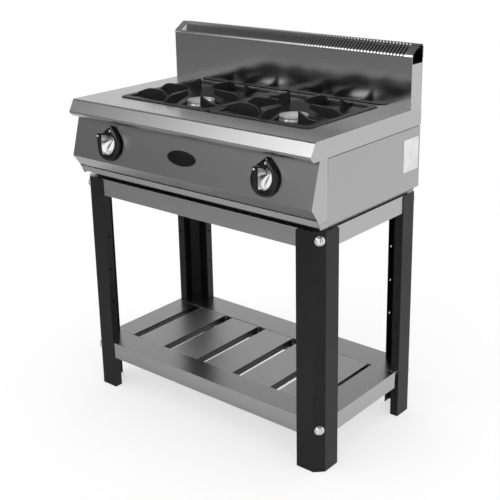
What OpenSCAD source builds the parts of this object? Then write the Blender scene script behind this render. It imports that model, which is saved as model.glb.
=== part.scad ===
/* [Overall] */
// Width across the side panels
range_w = 800; // [760:10:900]
// Depth from the worktop's front fold to the back
range_d = 446; // [440:2:500]
// Height of the worktop above the floor
worktop_h = 840; // [820:5:900]
// Height of the casing, from the top of the stand to the worktop
casing_h = 216; // [206:2:240]
// Thickness of the stainless sheet
sheet_t = 1.5; // [1:0.1:2]
// Gap at pieces that lift off or slide
loose_gap = 0.3; // [0.2:0.05:0.5]
// Radial clearance of a shaft in its bore
fit_gap = 0.05; // [0.02:0.01:0.1]

/* [Legs] */
// Width of each flange of a leg
leg_w = 72; // [60:1:80]
// Corner cut off between the two flanges
leg_cut = 21; // [18:1:26]
// Depth of the lip that stiffens each flange
leg_lip = 23; // [18:1:30]
// Thickness of the leg's steel
leg_t = 2; // [1.5:0.25:3]
// Radius of the flange's top corner
leg_corner_r = 8; // [4:1:14]
// Setback of the legs behind the worktop's front fold
stand_front = 20; // [16:1:30]
// Gap from the legs to the back of the worktop
stand_back_gap = 1.5; // [0.5:0.5:6]
// Radius of the holes in the lips
lip_hole_r = 3.5; // [2.5:0.25:4]
// Distance of the lip holes from the leg's outer face
lip_hole_in = 11; // [9:0.5:13]
// Height of the lowest lip hole
lip_hole_z = 264; // [220:4:300]
// Distance between lip holes
lip_hole_pitch = 96; // [60:4:110]
// Number of holes in each lip
lip_hole_count = 3; // [1:1:3]

/* [Rails] */
// Height of a top rail
rail_h = 46; // [38:1:60]
// Width of a top rail's flanges
rail_flange = 26; // [20:1:32]

/* [Shelf] */
// Height of the shelf's top above the floor
shelf_z = 138; // [120:2:200]
// Height of the shelf's apron
apron_h = 46; // [40:1:60]
// Width of the shelf's front rim
rim_front_w = 72; // [60:1:84]
// Width of the shelf's rear rim
rim_rear_w = 85; // [70:1:100]
// Width of the shelf's side rims
rim_side_w = 74; // [60:1:84]
// Depth of the edges turned down on rims and slats
edge_turn = 19; // [12:1:24]
// Lip at the foot of an apron
apron_lip = 15; // [8:1:20]
// Gap between two slats
slat_between = 28.5; // [10:0.5:50]
// Gap from the left side rim to the first slat
slat_left_gap = 24; // [2:1:40]
// Gap from the last slat to the right side rim
slat_right_gap = 10; // [2:1:40]
// Black gap between a slat and the rear rim
slat_gap = 2.5; // [1:0.5:6]
// Width of the ledges under the slats' ends
ledge_w = 20; // [14:1:30]

/* [Bolts] */
// Radius of a bolt's dome head
bolt_head_r = 12; // [9:0.5:13]
// Height of the dome head
bolt_head_h = 6; // [4:0.5:8]
// Radius of the bolt's shank
bolt_r = 4; // [3:0.5:5]
// Length of the shank
bolt_len = 16; // [14:1:22]
// Distance across the nut's corners, halved
nut_r = 7.5; // [6.5:0.5:9]
// Thickness of the nut
nut_t = 6; // [4:0.5:7]
// Height of the upper bolts under the stand's top
bolt_down = 22; // [20:1:26]
// Height of the lower bolts under the shelf's top
shelf_bolt_down = 23; // [20:1:26]
// Reach of a corner bracket along the rail
bracket_reach = 60; // [48:1:68]

/* [Worktop] */
// Height of the worktop's skirt
skirt_h = 45; // [40:1:60]
// Reach of the front lip ahead of the fold
lip_out = 18; // [12:1:24]
// Height of the lip's slanted face
lip_drop = 34; // [28:1:38]
// Return of the lip under the worktop
lip_return = 36; // [30:1:50]
// Width of the opening for the pan supports
opening_w = 632; // [600:4:640]
// Depth of that opening
opening_d = 301; // [292:1:303]
// Distance from the front fold to the opening
opening_front = 86; // [84:1:88]
// Corner radius of the opening
opening_r = 18; // [10:1:24]
// Depth of the opening's collar
collar_h = 12; // [10:1:14]
// Width of the ledge that carries the pan supports
collar_ledge = 12; // [8:1:13]
// Width of the bar between the pan supports
grate_bar_w = 24; // [16:1:26]
// Thickness of that bar
grate_bar_t = 3.5; // [2:0.5:5]

/* [Flue riser] */
// Depth of the riser
riser_d = 51.5; // [46:0.5:55]
// Height of the riser's front up to its fold
riser_h = 137; // [110:1:180]
// Height of the riser's side plates
riser_side_h = 113; // [80:1:120]
// Rise from the front fold to the top of the grille
grille_rise = 23; // [20:1:30]
// Radius of the grille's rear bend
grille_r = 12; // [8:1:16]
// Depth of the grille's rear leg
grille_leg = 24; // [14:1:40]
// Distance between the grille's slots
slot_pitch = 9.7; // [8:0.1:14]
// Width of a slot
slot_w = 5; // [3:0.5:6]
// Solid end of the grille beside its slots
slot_end = 20; // [14:1:40]
// Depth of the flue opening in the worktop
flue_d = 32; // [24:1:34]
// Solid end of the worktop beside the flue opening
flue_end = 40; // [30:1:80]

/* [Control panel] */
// Setback of the panel's top behind the front fold
panel_top_in = 16; // [12:1:20]
// How far the panel leans out from its top to its crease
panel_lean = 30; // [24:1:34]
// Height of the panel from its top to its crease
panel_drop = 108; // [104:1:112]
// Height of the band under the crease
under_h = 28; // [24:1:30]
// How far that band runs back
under_back = 21; // [18:1:26]
// Return at the panel's foot
panel_return = 20; // [14:1:26]
// Depth at which the side panel meets the end cap
end_cap_d = 46; // [44:1:60]
// Height of the side panel's toe under the end cap
toe_h = 16; // [12:1:18]
// Depth of the toe's lower corner
toe_in = 19; // [16:1:22]
// Height of the dark gap between stand and side panels
base_gap = 8; // [6:0.5:10]
// Width of the folds along the casing's panels
panel_fold = 20; // [16:1:22]
// Recess of the rear panel
rear_in = 22; // [18:1:24]
// Length of the oval badge
badge_w = 96; // [70:1:110]
// Height of the oval badge
badge_h = 38; // [30:1:46]
// Thickness of the badge
badge_t = 1.2; // [0.8:0.1:1.6]
// Distance of the badge's centre below the panel's top
badge_down = 59; // [50:1:64]
// Sideways shift of the badge
badge_shift = -8; // [-10:1:10]

/* [Drip tray] */
// Height of the tray's floor above the stand
tray_up = 14; // [13:0.5:16]
// Height of the tray's walls
tray_wall = 18; // [14:1:18]
// Gap between the tray's front and the side panels
tray_side_gap = 3; // [2:0.5:5]
// Distance from the tray's pan to the casing's sides
tray_pan_in = 26; // [25:1:40]
// Gap between the tray and the rear panel
tray_back_gap = 3; // [2:1:10]
// Gap between the tray's front and the control panel
tray_seam = 4; // [3:0.5:5]
// Width of a runner
runner_w = 16; // [10:1:24]

/* [Burners] */
// Distance between the two burners
burner_pitch = 316; // [300:2:320]
// Radius of a burner cap
cap_r = 37.75; // [34:0.25:40]
// Thickness of the cap
cap_t = 5; // [4:0.5:6]
// Depth of the cap's top below the worktop
cap_down = 13; // [11:0.5:15]
// Height of the toothed flame ring
flame_ring_h = 6; // [5:0.5:8]
// Step from the cap's edge to the flame ring
flame_ring_in = 1.5; // [1:0.25:2.5]
// Number of flame slots
flame_slots = 40; // [24:4:48]
// Width of a flame slot
flame_slot_w = 2; // [1:0.25:2.5]
// Depth of a flame slot
flame_slot_deep = 2.5; // [1.5:0.25:3]
// Radius of the spigots that centre ring and cap
spigot_r = 24; // [20:0.5:26]
// Length of those spigots
spigot_len = 4; // [3:0.5:5]
// Height of the burner's rim under the flame ring
burner_rim_h = 6; // [4:0.5:8]
// Radius of the burner's shoulder
shoulder_r = 30; // [28:1:34]
// Height of the mixing chamber under the rim
chamber_h = 24; // [22:1:28]
// Radius of the air sleeve below the shoulder
sleeve_r = 16; // [14:0.5:17]
// Length of the air sleeve
sleeve_len = 30; // [28:1:34]
// Radius of the burner's throat
throat_r = 10; // [8:0.5:12]
// Height of the air windows
window_h = 12; // [8:1:14]
// Width of the air windows
window_w = 14; // [10:1:16]
// Radius of the injector
injector_r = 6; // [5:0.5:8]
// Length of the injector
injector_len = 13; // [12:0.5:14]
// Radius of the injector's jet
jet_r = 1; // [0.5:0.25:2]
// Width of the bar that carries the burners
support_w = 40; // [38:1:60]
// Depth of that bar's edges
support_edge = 20; // [12:1:22]

/* [Pan supports] */
// Gap round a pan support
grate_gap = 1; // [0.5:0.25:2]
// Width of its frame
grate_frame_w = 19; // [16:1:22]
// Height of the frame's top above the worktop
grate_over = 3; // [1.5:0.5:5]
// Height of the fingers above the frame
finger_over = 18; // [15:0.5:20]
// Thickness of a finger
finger_t = 7.5; // [6:0.5:9]
// Radius to the tip of a side finger
finger_tip_r = 51; // [50:1:60]
// Distance across from the burner's axis to the corner wings
wing_x = 82; // [70:1:90]
// Distance in depth from the burner's axis to the corner wings
wing_y = 87; // [75:1:95]
// Distance from the burner's axis to the nose of the front left wing
nose_tip = 40; // [30:1:60]
// Radius of the hole round the burner
dish_hole_r = 52; // [46:1:58]
// Radius where the dish starts to fall
dish_r = 142; // [120:1:146]
// Depth from the frame's top to the flat corners
dish_down = 5; // [4:0.5:6.5]
// Depth from the flat corners to the hole
dish_fall = 26; // [20:1:28]
// Thickness of the dish
dish_t = 4; // [3:0.25:5]

/* [Knobs and taps] */
// Distance between the two knobs
knob_pitch = 521; // [500:1:540]
// Distance from the panel's top to the knob's axis
knob_down = 64; // [62:0.5:66]
// Gap between the knob's skirt and the panel
knob_gap = 8; // [7:0.5:10]
// Radius of the knob's skirt
skirt_r = 41; // [36:0.5:42]
// Distance from the axis to the pointer's tip
pointer_len = 52; // [46:0.5:54]
// Radius of the pointer's tip
pointer_r = 6; // [4:0.5:8]
// Thickness of the knob's skirt
knob_skirt_t = 5; // [3:0.5:6]
// Radius of the bright cheeks beside the fin
cheek_r = 26; // [22:0.5:28]
// Height of the cheeks where they meet the fin
cheek_h = 22; // [16:0.5:26]
// Height of the cheeks at their rim
cheek_rim_h = 4; // [2:0.5:6]
// Width of the fin
fin_w = 9; // [7:0.5:12]
// Distance from the panel to the fin's front
fin_out = 48; // [42:0.5:50]
// Radius of the fin's front corners
fin_r = 6; // [3:0.5:10]
// Travel of the knob when pushed
push_travel = 4; // [2:0.5:5]
// Radius of the tap's stem
stem_r = 4; // [3:0.25:5]
// Depth of the stem's flat from its axis
stem_flat = 3; // [2.5:0.1:3.5]
// Width of the tap's body
tap_w = 32; // [28:1:36]
// Distance from the panel to the tap's block
tap_nose = 10; // [8:0.5:12]
// Distance from the panel to the tap's rear
tap_depth = 58; // [56:1:64]
// Radius of the tap's nose
nose_r = 11; // [9:0.5:12]
// Radius of the turning plug
plug_r = 8; // [7:0.25:9]
// Length of the turning plug
plug_len = 38; // [34:1:38]
// Length of the stem inside the plug
stem_in_plug = 28; // [20:1:29]
// Radius of the hole in the panel for the stem
stem_hole_r = 6; // [5.5:0.25:8]
// Distance from the panel to the tap's outlet
outlet_in = 40; // [30:1:44]
// Radius of the outlet's boss
outlet_r = 6; // [5:0.5:7]
// Height of the outlet's boss
outlet_h = 4; // [2:0.5:6]

/* [Gas pipes] */
// Outer radius of the manifold, a half inch pipe
pipe_r = 10.65; // [9:0.05:13.5]
// Bore radius of the pipe
pipe_bore_r = 8; // [6:0.25:8.5]
// Depth of the open bore in the inlet
inlet_bore_len = 40; // [30:1:60]
// Length of the inlet behind the rear panel
inlet_len = 20; // [16:1:20]
// Length of the inlet's free end, behind its back nut
inlet_free = 16; // [12:0.5:16]
// Radius of that back nut
back_nut_r = 15; // [13:0.5:18]
// Distance from the supply pipe to the casing's side
supply_in = 60; // [55:1:90]
// Length of manifold beyond the left tap
manifold_end = 30; // [20:1:60]
// Outer radius of the feed tubes
feed_r = 4; // [3:0.25:5]
// Straight stretch of feed tube above the outlet
feed_rise = 6; // [5:0.5:10]
// Radius of a thermocouple's probe
probe_r = 2; // [1.5:0.25:3]
// Radius of its lead
lead_r = 1.2; // [0.8:0.1:1.5]
// Distance from the burner's axis to the probe
probe_out = 44; // [42:0.5:46]
// Height of the lead's first stretch above the tap
lead_rise = 24; // [20:1:30]
// Distance from the panel to where the lead enters the tap
lead_in = 52; // [48:1:54]

/* [Hidden] */
$fn = 48;
overrun = 2;
slat_names = ["slat_1", "slat_2", "slat_3", "slat_4", "slat_5"];
slat_count = len(slat_names);

// Stand
half_w = range_w / 2;
stand_h = worktop_h - casing_h;
stand_rear = range_d - stand_back_gap;
rail_z = stand_h - rail_h;
inner_front = stand_front + leg_t;
inner_rear = stand_rear - leg_t;
inner_half_w = half_w - leg_t;
rim_front_end = inner_front + rim_front_w;
rim_rear_end = inner_rear - rim_rear_w;
slat_reach = inner_half_w - rim_side_w;
slat_span = 2 * slat_reach - slat_left_gap - slat_right_gap;
slat_w = (slat_span - (slat_count - 1) * slat_between) / slat_count;
bracket_in = leg_t + sheet_t;
bracket_knee = leg_cut + leg_t * sqrt(2) - bracket_in;

// Casing
skirt_z = worktop_h - skirt_h;
top_under = worktop_h - sheet_t;
side_z = stand_h + base_gap;
rear_face = range_d - rear_in;
crease = [panel_top_in - panel_lean, skirt_z - panel_drop];
under = crease + [under_back, -under_h];
toe = [toe_in, side_z];
inner_w = half_w - sheet_t;
lip_tuck = skirt_h - lip_drop;

// Depth of the casing's slanted foot at height z
function foot_y(z) = under[0] + (toe[0] - under[0]) * (under[1] - z) / (under[1] - toe[1]);

// Burners and pan supports
burner_x = burner_pitch / 2;
opening_rear = opening_front + opening_d;
burner_y = opening_front + opening_d / 2;
cap_z = worktop_h - cap_down - cap_t;
flame_z = cap_z - loose_gap - flame_ring_h;
rim_z = flame_z - loose_gap - burner_rim_h;
shoulder_z = rim_z - chamber_h;
sleeve_z = shoulder_z - sleeve_len;
ledge_z = worktop_h - collar_h + sheet_t;
grate_z = ledge_z + loose_gap;
grate_top = worktop_h + grate_over;
grate_w = opening_w / 2 - 2 * grate_gap;
grate_d = opening_d - 2 * grate_gap;
grate_x = opening_w / 4;

// Flue riser
riser_y = range_d - riser_d;
fold_z = worktop_h + riser_h;
grille_top = fold_z + grille_rise;
bend = [range_d - grille_r, grille_top - grille_r];
to_bend = bend - [riser_y, fold_z];
grille_tilt = atan2(to_bend[1], to_bend[0]) + asin(grille_r / norm(to_bend));
slot_run = range_w - 2 * slot_end - slot_w;
slot_gaps = floor(slot_run / slot_pitch);

// Knobs, on axes square to the control panel
tilt = atan2(panel_lean, panel_drop);
knob_x = knob_pitch / 2;
knob_y = panel_top_in - knob_down * sin(tilt);
knob_z = skirt_z - knob_down * cos(tilt);
pipe_in = tap_depth + pipe_r + fit_gap;
plug_in = tap_nose + overrun;
stem_end = plug_in + stem_in_plug;
fin_len = 2 * cheek_r;
skirt_front = knob_gap + knob_skirt_t;
knob_front_y = knob_y - (fin_len / 2 - fin_r) * sin(tilt) - (fin_out - fin_r) * cos(tilt) - fin_r;
mid_y = (knob_front_y + range_d) / 2;

// A place above the panel at the knob's axis: along the panel, then out from it
function panel_place(up, out) = [
    knob_y + up * sin(tilt) - out * cos(tilt),
    knob_z + up * cos(tilt) + out * sin(tilt)
];
manifold_at = panel_place(0, -pipe_in);
supply_x = half_w - supply_in;
feed_at = panel_place(tap_w / 2 + outlet_h + feed_rise, -outlet_in);
lead_at = panel_place(tap_w / 2 + lead_rise, -lead_in);

// Sheet metal from a line of (depth, height) points, with its thickness on the left of the line
function unit(v) = v / norm(v);
function left_of(v) = [-v[1], v[0]];
function inner_point(p, i, t) =
    let (
        before = left_of(unit(i > 0 ? p[i] - p[i - 1] : p[1] - p[0])),
        after = i < len(p) - 1 ? left_of(unit(p[i + 1] - p[i])) : before
    )
    p[i] + t * (before + after) / (1 + before * after);
module sheet(points, t = sheet_t) {
    back = [for (i = [len(points) - 1 : -1 : 0]) inner_point(points, i, t)];
    polygon(concat(points, back));
}

module along_x(x0, x1) translate([x0, 0, 0]) rotate([90, 0, 90]) linear_extrude(x1 - x0) children();
module along_y(y0, y1) translate([0, y1, 0]) rotate([90, 0, 0]) linear_extrude(y1 - y0) children();
module flip_x(on) {
    if (on) mirror([1, 0, 0]) children();
    else children();
}
module flip_y(on) {
    if (on) mirror([0, 1, 0]) children();
    else children();
}

// The part's origin lies on the floor, under the middle of its box
module at_rest() translate([0, -mid_y, 0]) children();

module rounded_rect(w, d, r) {
    square([w - 2 * r, d], center = true);
    square([w, d - 2 * r], center = true);
    for (x = [-1, 1], y = [-1, 1]) translate([x * (w / 2 - r), y * (d / 2 - r)]) circle(r);
}

// A corner of the stand: its outer corner lies at the origin and the stand at +X +Y
module at_corner(right, rear)
    translate([right ? half_w : -half_w, rear ? stand_rear : stand_front, 0])
        flip_x(right) flip_y(rear) children();

flange_line = [[0, leg_w], [0, leg_cut], [leg_cut, 0], [leg_w, 0]];
lip_line = concat([[leg_lip, leg_w]], flange_line, [[leg_w, leg_lip]]);

module bolt_place(z) translate([leg_cut / 2, leg_cut / 2, z]) rotate([0, 90, 45]) children();
module bolt_places() {
    bolt_place(stand_h - bolt_down) children();
    bolt_place(shelf_z - shelf_bolt_down) children();
}

// Takes the sharp top corner off a flange that runs along X
module top_corner_cut()
    translate([leg_w - leg_corner_r, -overrun, stand_h - leg_corner_r])
        difference() {
            cube([leg_corner_r + overrun, leg_t + 2 * overrun, leg_corner_r + overrun]);
            rotate([-90, 0, 0]) cylinder(r = leg_corner_r, h = leg_t + 2 * overrun);
        }

module leg() color("#1b1b1d")
    difference() {
        union() {
            linear_extrude(stand_h) sheet(flange_line, leg_t);
            linear_extrude(shelf_z - apron_h) sheet(lip_line, leg_t);
            translate([0, 0, shelf_z]) linear_extrude(rail_z - shelf_z) sheet(lip_line, leg_t);
        }
        bolt_places() translate([0, 0, -overrun]) cylinder(r = bolt_r + loose_gap, h = leg_t + 2 * overrun);
        top_corner_cut();
        mirror([1, -1, 0]) top_corner_cut();
        for (i = [0 : lip_hole_count - 1]) {
            hole_z = lip_hole_z + i * lip_hole_pitch;
            translate([leg_w - leg_t - overrun, lip_hole_in, hole_z])
                rotate([0, 90, 0]) cylinder(r = lip_hole_r, h = leg_t + 2 * overrun);
            translate([lip_hole_in, leg_w - leg_t - overrun, hole_z])
                rotate([-90, 0, 0]) cylinder(r = lip_hole_r, h = leg_t + 2 * overrun);
        }
    }

// Plan of the space inside the four legs, from height z0 to z1
module inside_legs(z0, z1)
    translate([0, 0, z0]) linear_extrude(z1 - z0)
        intersection() {
            translate([-inner_half_w, inner_front]) square([2 * inner_half_w, inner_rear - inner_front]);
            corner = leg_cut + leg_t * sqrt(2);
            polygon([
                [-half_w, stand_front + corner], [-half_w + corner, stand_front],
                [half_w - corner, stand_front], [half_w, stand_front + corner],
                [half_w, stand_rear - corner], [half_w - corner, stand_rear],
                [-half_w + corner, stand_rear], [-half_w, stand_rear - corner]
            ]);
        }

// A channel on its side: outer face at 0, flanges towards +X
rail_line = [[rail_flange, stand_h], [0, stand_h], [0, rail_z], [rail_flange, rail_z]];

module rail_across(rear) color("#a9aaab")
    intersection() {
        translate([0, rear ? inner_rear : inner_front, 0])
            flip_y(rear) along_x(-inner_half_w, inner_half_w) sheet(rail_line);
        inside_legs(rail_z - overrun, stand_h + overrun);
    }

module rail_side(right) color("#a9aaab")
    flip_x(right) translate([-inner_half_w, 0, 0])
        along_y(inner_front + rail_flange, inner_rear - rail_flange) sheet(rail_line);

// A shelf rim: outer face at 0, top towards +X, w wide
function rim_line(w) = [
    [w, shelf_z - edge_turn], [w, shelf_z], [0, shelf_z],
    [0, shelf_z - apron_h], [apron_lip, shelf_z - apron_h]
];

module rim_across(rear) color("#c4c5c6")
    intersection() {
        translate([0, rear ? inner_rear : inner_front, 0])
            flip_y(rear) along_x(-inner_half_w, inner_half_w) sheet(rim_line(rear ? rim_rear_w : rim_front_w));
        inside_legs(0, shelf_z + overrun);
    }

module rim_side(right) color("#c4c5c6")
    flip_x(right) translate([-inner_half_w, 0, 0])
        along_y(rim_front_end, rim_rear_end) sheet(rim_line(rim_side_w));

module slat(i) color("#c4c5c6") {
    x0 = slat_left_gap - slat_reach + i * (slat_w + slat_between);
    line = [
        [x0 + slat_w, shelf_z - edge_turn], [x0 + slat_w, shelf_z],
        [x0, shelf_z], [x0, shelf_z - edge_turn]
    ];
    along_y(rim_front_end, rim_rear_end - slat_gap) sheet(line);
}

// Angles under the slats' ends, fixed to the edges of the front and rear rims
module slat_ledges() color("#a9aaab") {
    top = shelf_z - edge_turn;
    for (rear = [false, true])
        translate([0, rear ? rim_rear_end : rim_front_end, 0]) flip_y(rear)
            along_x(-slat_reach, slat_reach) sheet([[ledge_w, top], [0, top], [0, shelf_z - apron_h]]);
}

module corner_bracket(z0, z1)
    translate([0, 0, z0]) linear_extrude(z1 - z0)
        sheet([
            [bracket_in, bracket_reach], [bracket_in, bracket_knee],
            [bracket_knee, bracket_in], [bracket_reach, bracket_in]
        ]);

module corner_brackets() color("#8d8e90")
    for (right = [false, true], rear = [false, true]) at_corner(right, rear)
        difference() {
            union() {
                corner_bracket(rail_z + sheet_t, stand_h - sheet_t);
                corner_bracket(shelf_z - apron_h + sheet_t, shelf_z - sheet_t);
            }
            bolt_places() cylinder(r = bolt_r + loose_gap, h = bolt_len);
        }

module leg_bolts() color("#d4d5d6") {
    dome_r = (pow(bolt_head_r, 2) + pow(bolt_head_h, 2)) / (2 * bolt_head_h);
    for (right = [false, true], rear = [false, true]) at_corner(right, rear)
        bolt_places() {
            cylinder(r = bolt_r, h = bolt_len);
            rotate_extrude() intersection() {
                translate([0, dome_r - bolt_head_h]) circle(dome_r);
                translate([0, -bolt_head_h]) square([bolt_head_r, bolt_head_h]);
            }
        }
}

module leg_nuts() color("#9a9b9d")
    for (right = [false, true], rear = [false, true]) at_corner(right, rear)
        bolt_places() translate([0, 0, leg_t + sheet_t]) difference() {
            cylinder(r = nut_r, h = nut_t, $fn = 6);
            translate([0, 0, -overrun]) cylinder(r = bolt_r + fit_gap, h = nut_t + 2 * overrun);
        }

// A shallow pan on the rails, whose side edges carry the side panels
module base_panel() color("#8f9092") {
    edge = side_z - sheet_t;
    in = half_w - panel_fold;
    along_y(end_cap_d, rear_face)
        sheet([[-inner_w, edge], [-in, edge], [-in, stand_h], [in, stand_h], [in, edge], [inner_w, edge]]);
}

module side_panel(right) color("#b9babb")
    flip_x(right) {
        in = half_w - panel_fold;
        along_y(end_cap_d, range_d)
            sheet([[-in, skirt_z], [-half_w, skirt_z], [-half_w, side_z], [-in, side_z]]);
        along_x(-half_w, -inner_w) polygon([
            [end_cap_d, side_z], [end_cap_d, side_z + toe_h],
            [foot_y(side_z + toe_h), side_z + toe_h], toe
        ]);
        translate([-half_w, range_d - sheet_t, side_z]) cube([panel_fold, sheet_t, skirt_z - side_z]);
    }

module on_panel(x, up = 0) translate([x, knob_y, knob_z]) rotate([90 - tilt, 0, 0]) translate([0, up, 0]) children();
module at_taps() for (x = [-knob_x, knob_x]) on_panel(x) children();

module control_panel() color("#b4b5b6")
    difference() {
        union() {
            along_x(-half_w, half_w) sheet([
                [panel_top_in + panel_return, skirt_z], [panel_top_in, skirt_z],
                crease, under, under + [panel_return, 0]
            ]);
            cap_z0 = side_z + toe_h;
            for (right = [false, true]) flip_x(right) along_x(-half_w, -inner_w) polygon([
                [panel_top_in, skirt_z], crease, under, [foot_y(cap_z0), cap_z0],
                [end_cap_d, cap_z0], [end_cap_d, skirt_z]
            ]);
        }
        at_taps() translate([0, 0, -sheet_t - overrun]) cylinder(r = stem_hole_r, h = sheet_t + 2 * overrun);
    }

module rear_panel() color("#9fa0a2")
    difference() {
        translate([-inner_w, rear_face - sheet_t, side_z + sheet_t])
            cube([2 * inner_w, sheet_t, skirt_z - side_z - 2 * sheet_t]);
        translate([supply_x, rear_face + overrun, manifold_at[1]])
            rotate([90, 0, 0]) cylinder(r = pipe_r + loose_gap, h = sheet_t + 2 * overrun);
    }

module opening_plan(grow = 0)
    translate([0, burner_y]) rounded_rect(opening_w + 2 * grow, opening_d + 2 * grow, opening_r + grow);

module worktop() color("#bcbdbe") {
    fold = [0, worktop_h];
    lip = [-lip_out, worktop_h - lip_drop];
    tuck = lip + [lip_tuck, -lip_tuck];
    difference() {
        union() {
            along_x(-half_w, half_w) sheet([
                [range_d, skirt_z], [range_d, worktop_h], fold, lip, tuck, tuck + [lip_return, 0]
            ]);
            for (right = [false, true]) flip_x(right) along_x(-half_w, -inner_w)
                polygon([fold, lip, tuck, [range_d, skirt_z], [range_d, worktop_h]]);
        }
        translate([0, 0, top_under - overrun]) linear_extrude(2 * overrun + sheet_t) {
            opening_plan();
            flue_w = range_w - 2 * flue_end;
            translate([-flue_w / 2, range_d - (riser_d + flue_d) / 2]) square([flue_w, flue_d]);
        }
    }
    translate([0, 0, worktop_h - collar_h]) linear_extrude(collar_h) difference() {
        opening_plan(sheet_t);
        opening_plan();
    }
    translate([0, 0, worktop_h - collar_h]) linear_extrude(sheet_t) difference() {
        opening_plan();
        opening_plan(-collar_ledge);
    }
}

module grate_bar() color("#6f7072")
    translate([-grate_bar_w / 2, opening_front + collar_ledge, ledge_z - grate_bar_t])
        cube([grate_bar_w, opening_d - 2 * collar_ledge, grate_bar_t]);

module riser_front() color("#8c8d8f") {
    top = fold_z - sheet_t / cos(grille_tilt);
    along_x(-half_w, half_w) sheet([
        [riser_y + panel_fold * cos(grille_tilt), top + panel_fold * sin(grille_tilt)],
        [riser_y, top], [riser_y, worktop_h]
    ]);
}

module riser_back() color("#b0b1b2")
    translate([-half_w, range_d - 2 * sheet_t, worktop_h])
        cube([range_w, sheet_t, bend[1] - worktop_h]);

module riser_sides() color("#b9babb")
    for (right = [false, true]) flip_x(right) {
        depth = riser_d - 3 * sheet_t;
        translate([-half_w, riser_y + sheet_t, worktop_h]) cube([sheet_t, depth, riser_side_h]);
        translate([-half_w, riser_y + sheet_t, worktop_h + riser_side_h - sheet_t])
            cube([panel_fold, depth, sheet_t]);
    }

// The grille rises from the riser's front fold, bends over and comes down behind the back plate
module vent_grille() color("#a4a5a7") {
    steps = 8;
    arc = [for (i = [0 : steps])
        bend + grille_r * [cos(i * (90 + grille_tilt) / steps), sin(i * (90 + grille_tilt) / steps)]];
    slope_end = arc[steps];
    difference() {
        along_x(-half_w, half_w)
            sheet(concat([[range_d, bend[1] - grille_leg]], arc, [[riser_y, fold_z]]));
        for (i = [0 : slot_gaps])
            translate([(i - slot_gaps / 2) * slot_pitch - slot_w / 2, riser_y + slot_w, fold_z - overrun])
                cube([slot_w, range_d - 2 * slot_w - riser_y, grille_rise + 2 * overrun]);
    }
}

badge_steps = 72;
module oval(w, h) polygon([for (i = [0 : badge_steps - 1])
    [w / 2 * cos(i * 360 / badge_steps), h / 2 * sin(i * 360 / badge_steps)]]);

module badge_plate() color("#111112")
    on_panel(badge_shift, knob_down - badge_down) linear_extrude(badge_t) oval(badge_w, badge_h);

module burner_support() color("#8f9092")
    difference() {
        along_x(-inner_w, inner_w) sheet([
            [burner_y + support_w / 2, shoulder_z - support_edge], [burner_y + support_w / 2, shoulder_z],
            [burner_y - support_w / 2, shoulder_z], [burner_y - support_w / 2, shoulder_z - support_edge]
        ]);
        for (s = [-1, 1]) {
            translate([s * burner_x, burner_y, shoulder_z - sheet_t - overrun])
                cylinder(r = sleeve_r + loose_gap, h = sheet_t + 2 * overrun);
            translate([s * (burner_x + probe_out), burner_y, shoulder_z - sheet_t - overrun])
                cylinder(r = probe_r + fit_gap, h = sheet_t + 2 * overrun);
        }
    }

module at_burner(side, z) translate([side * burner_x, burner_y, z]) children();

// Cast body: rim, mixing chamber, shoulder and an air sleeve that holds the injector
module burner_body(side) color("#b7b5ae")
    at_burner(side, sleeve_z) difference() {
        union() {
            cylinder(r = sleeve_r, h = sleeve_len + chamber_h / 2);
            translate([0, 0, sleeve_len]) cylinder(r = shoulder_r, h = chamber_h);
            translate([0, 0, sleeve_len + chamber_h]) cylinder(r = cap_r, h = burner_rim_h);
        }
        translate([0, 0, injector_len]) cylinder(r = throat_r, h = sleeve_len + chamber_h);
        translate([0, 0, -overrun]) cylinder(r = injector_r + fit_gap, h = injector_len + 2 * overrun);
        translate([0, 0, sleeve_len + chamber_h / 2])
            cylinder(r = spigot_r + fit_gap, h = chamber_h + burner_rim_h);
        for (a = [0, 90]) rotate([0, 0, a])
            translate([-sleeve_r - overrun, -window_w / 2, injector_len + overrun])
                cube([2 * (sleeve_r + overrun), window_w, window_h]);
    }

module burner_head(side) color("#9c9a94")
    at_burner(side, flame_z) difference() {
        ring_r = cap_r - flame_ring_in;
        union() {
            cylinder(r = ring_r, h = flame_ring_h);
            translate([0, 0, -spigot_len]) cylinder(r = spigot_r, h = spigot_len + flame_ring_h / 2);
        }
        translate([0, 0, -spigot_len - overrun])
            cylinder(r = spigot_r - flame_slot_deep, h = spigot_len + flame_ring_h + 2 * overrun);
        for (i = [0 : flame_slots - 1]) rotate([0, 0, i * 360 / flame_slots])
            translate([ring_r - flame_slot_deep, -flame_slot_w / 2, flame_slot_w / 2])
                cube([flame_slot_deep + overrun, flame_slot_w, flame_ring_h]);
    }

module burner_cap(side) color("#cfd0d0")
    at_burner(side, cap_z) {
        edge = cap_t / 4;
        rotate_extrude() polygon([
            [0, 0], [cap_r, 0], [cap_r, cap_t - edge], [cap_r - edge, cap_t], [0, cap_t]
        ]);
        translate([0, 0, -spigot_len])
            cylinder(r = spigot_r - flame_slot_deep - fit_gap, h = spigot_len + cap_t / 2);
    }

module injectors() color("#c39a4a")
    for (s = [-1, 1]) at_burner(s, sleeve_z) difference() {
        cylinder(r = injector_r, h = injector_len);
        translate([0, 0, injector_len / 2]) cylinder(r = jet_r, h = injector_len);
    }

// A round pipe through points, with a slightly larger ball at each bend
module pipe_run(points, r) {
    for (i = [1 : len(points) - 1]) {
        a = points[i - 1];
        v = points[i] - a;
        turn = atan2(v[1], v[0]);
        translate(a) rotate([0, acos(v[2] / norm(v)), turn]) cylinder(r = r, h = norm(v));
    }
    for (i = [1 : 1 : len(points) - 2]) translate(points[i]) sphere(r + fit_gap);
}

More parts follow.
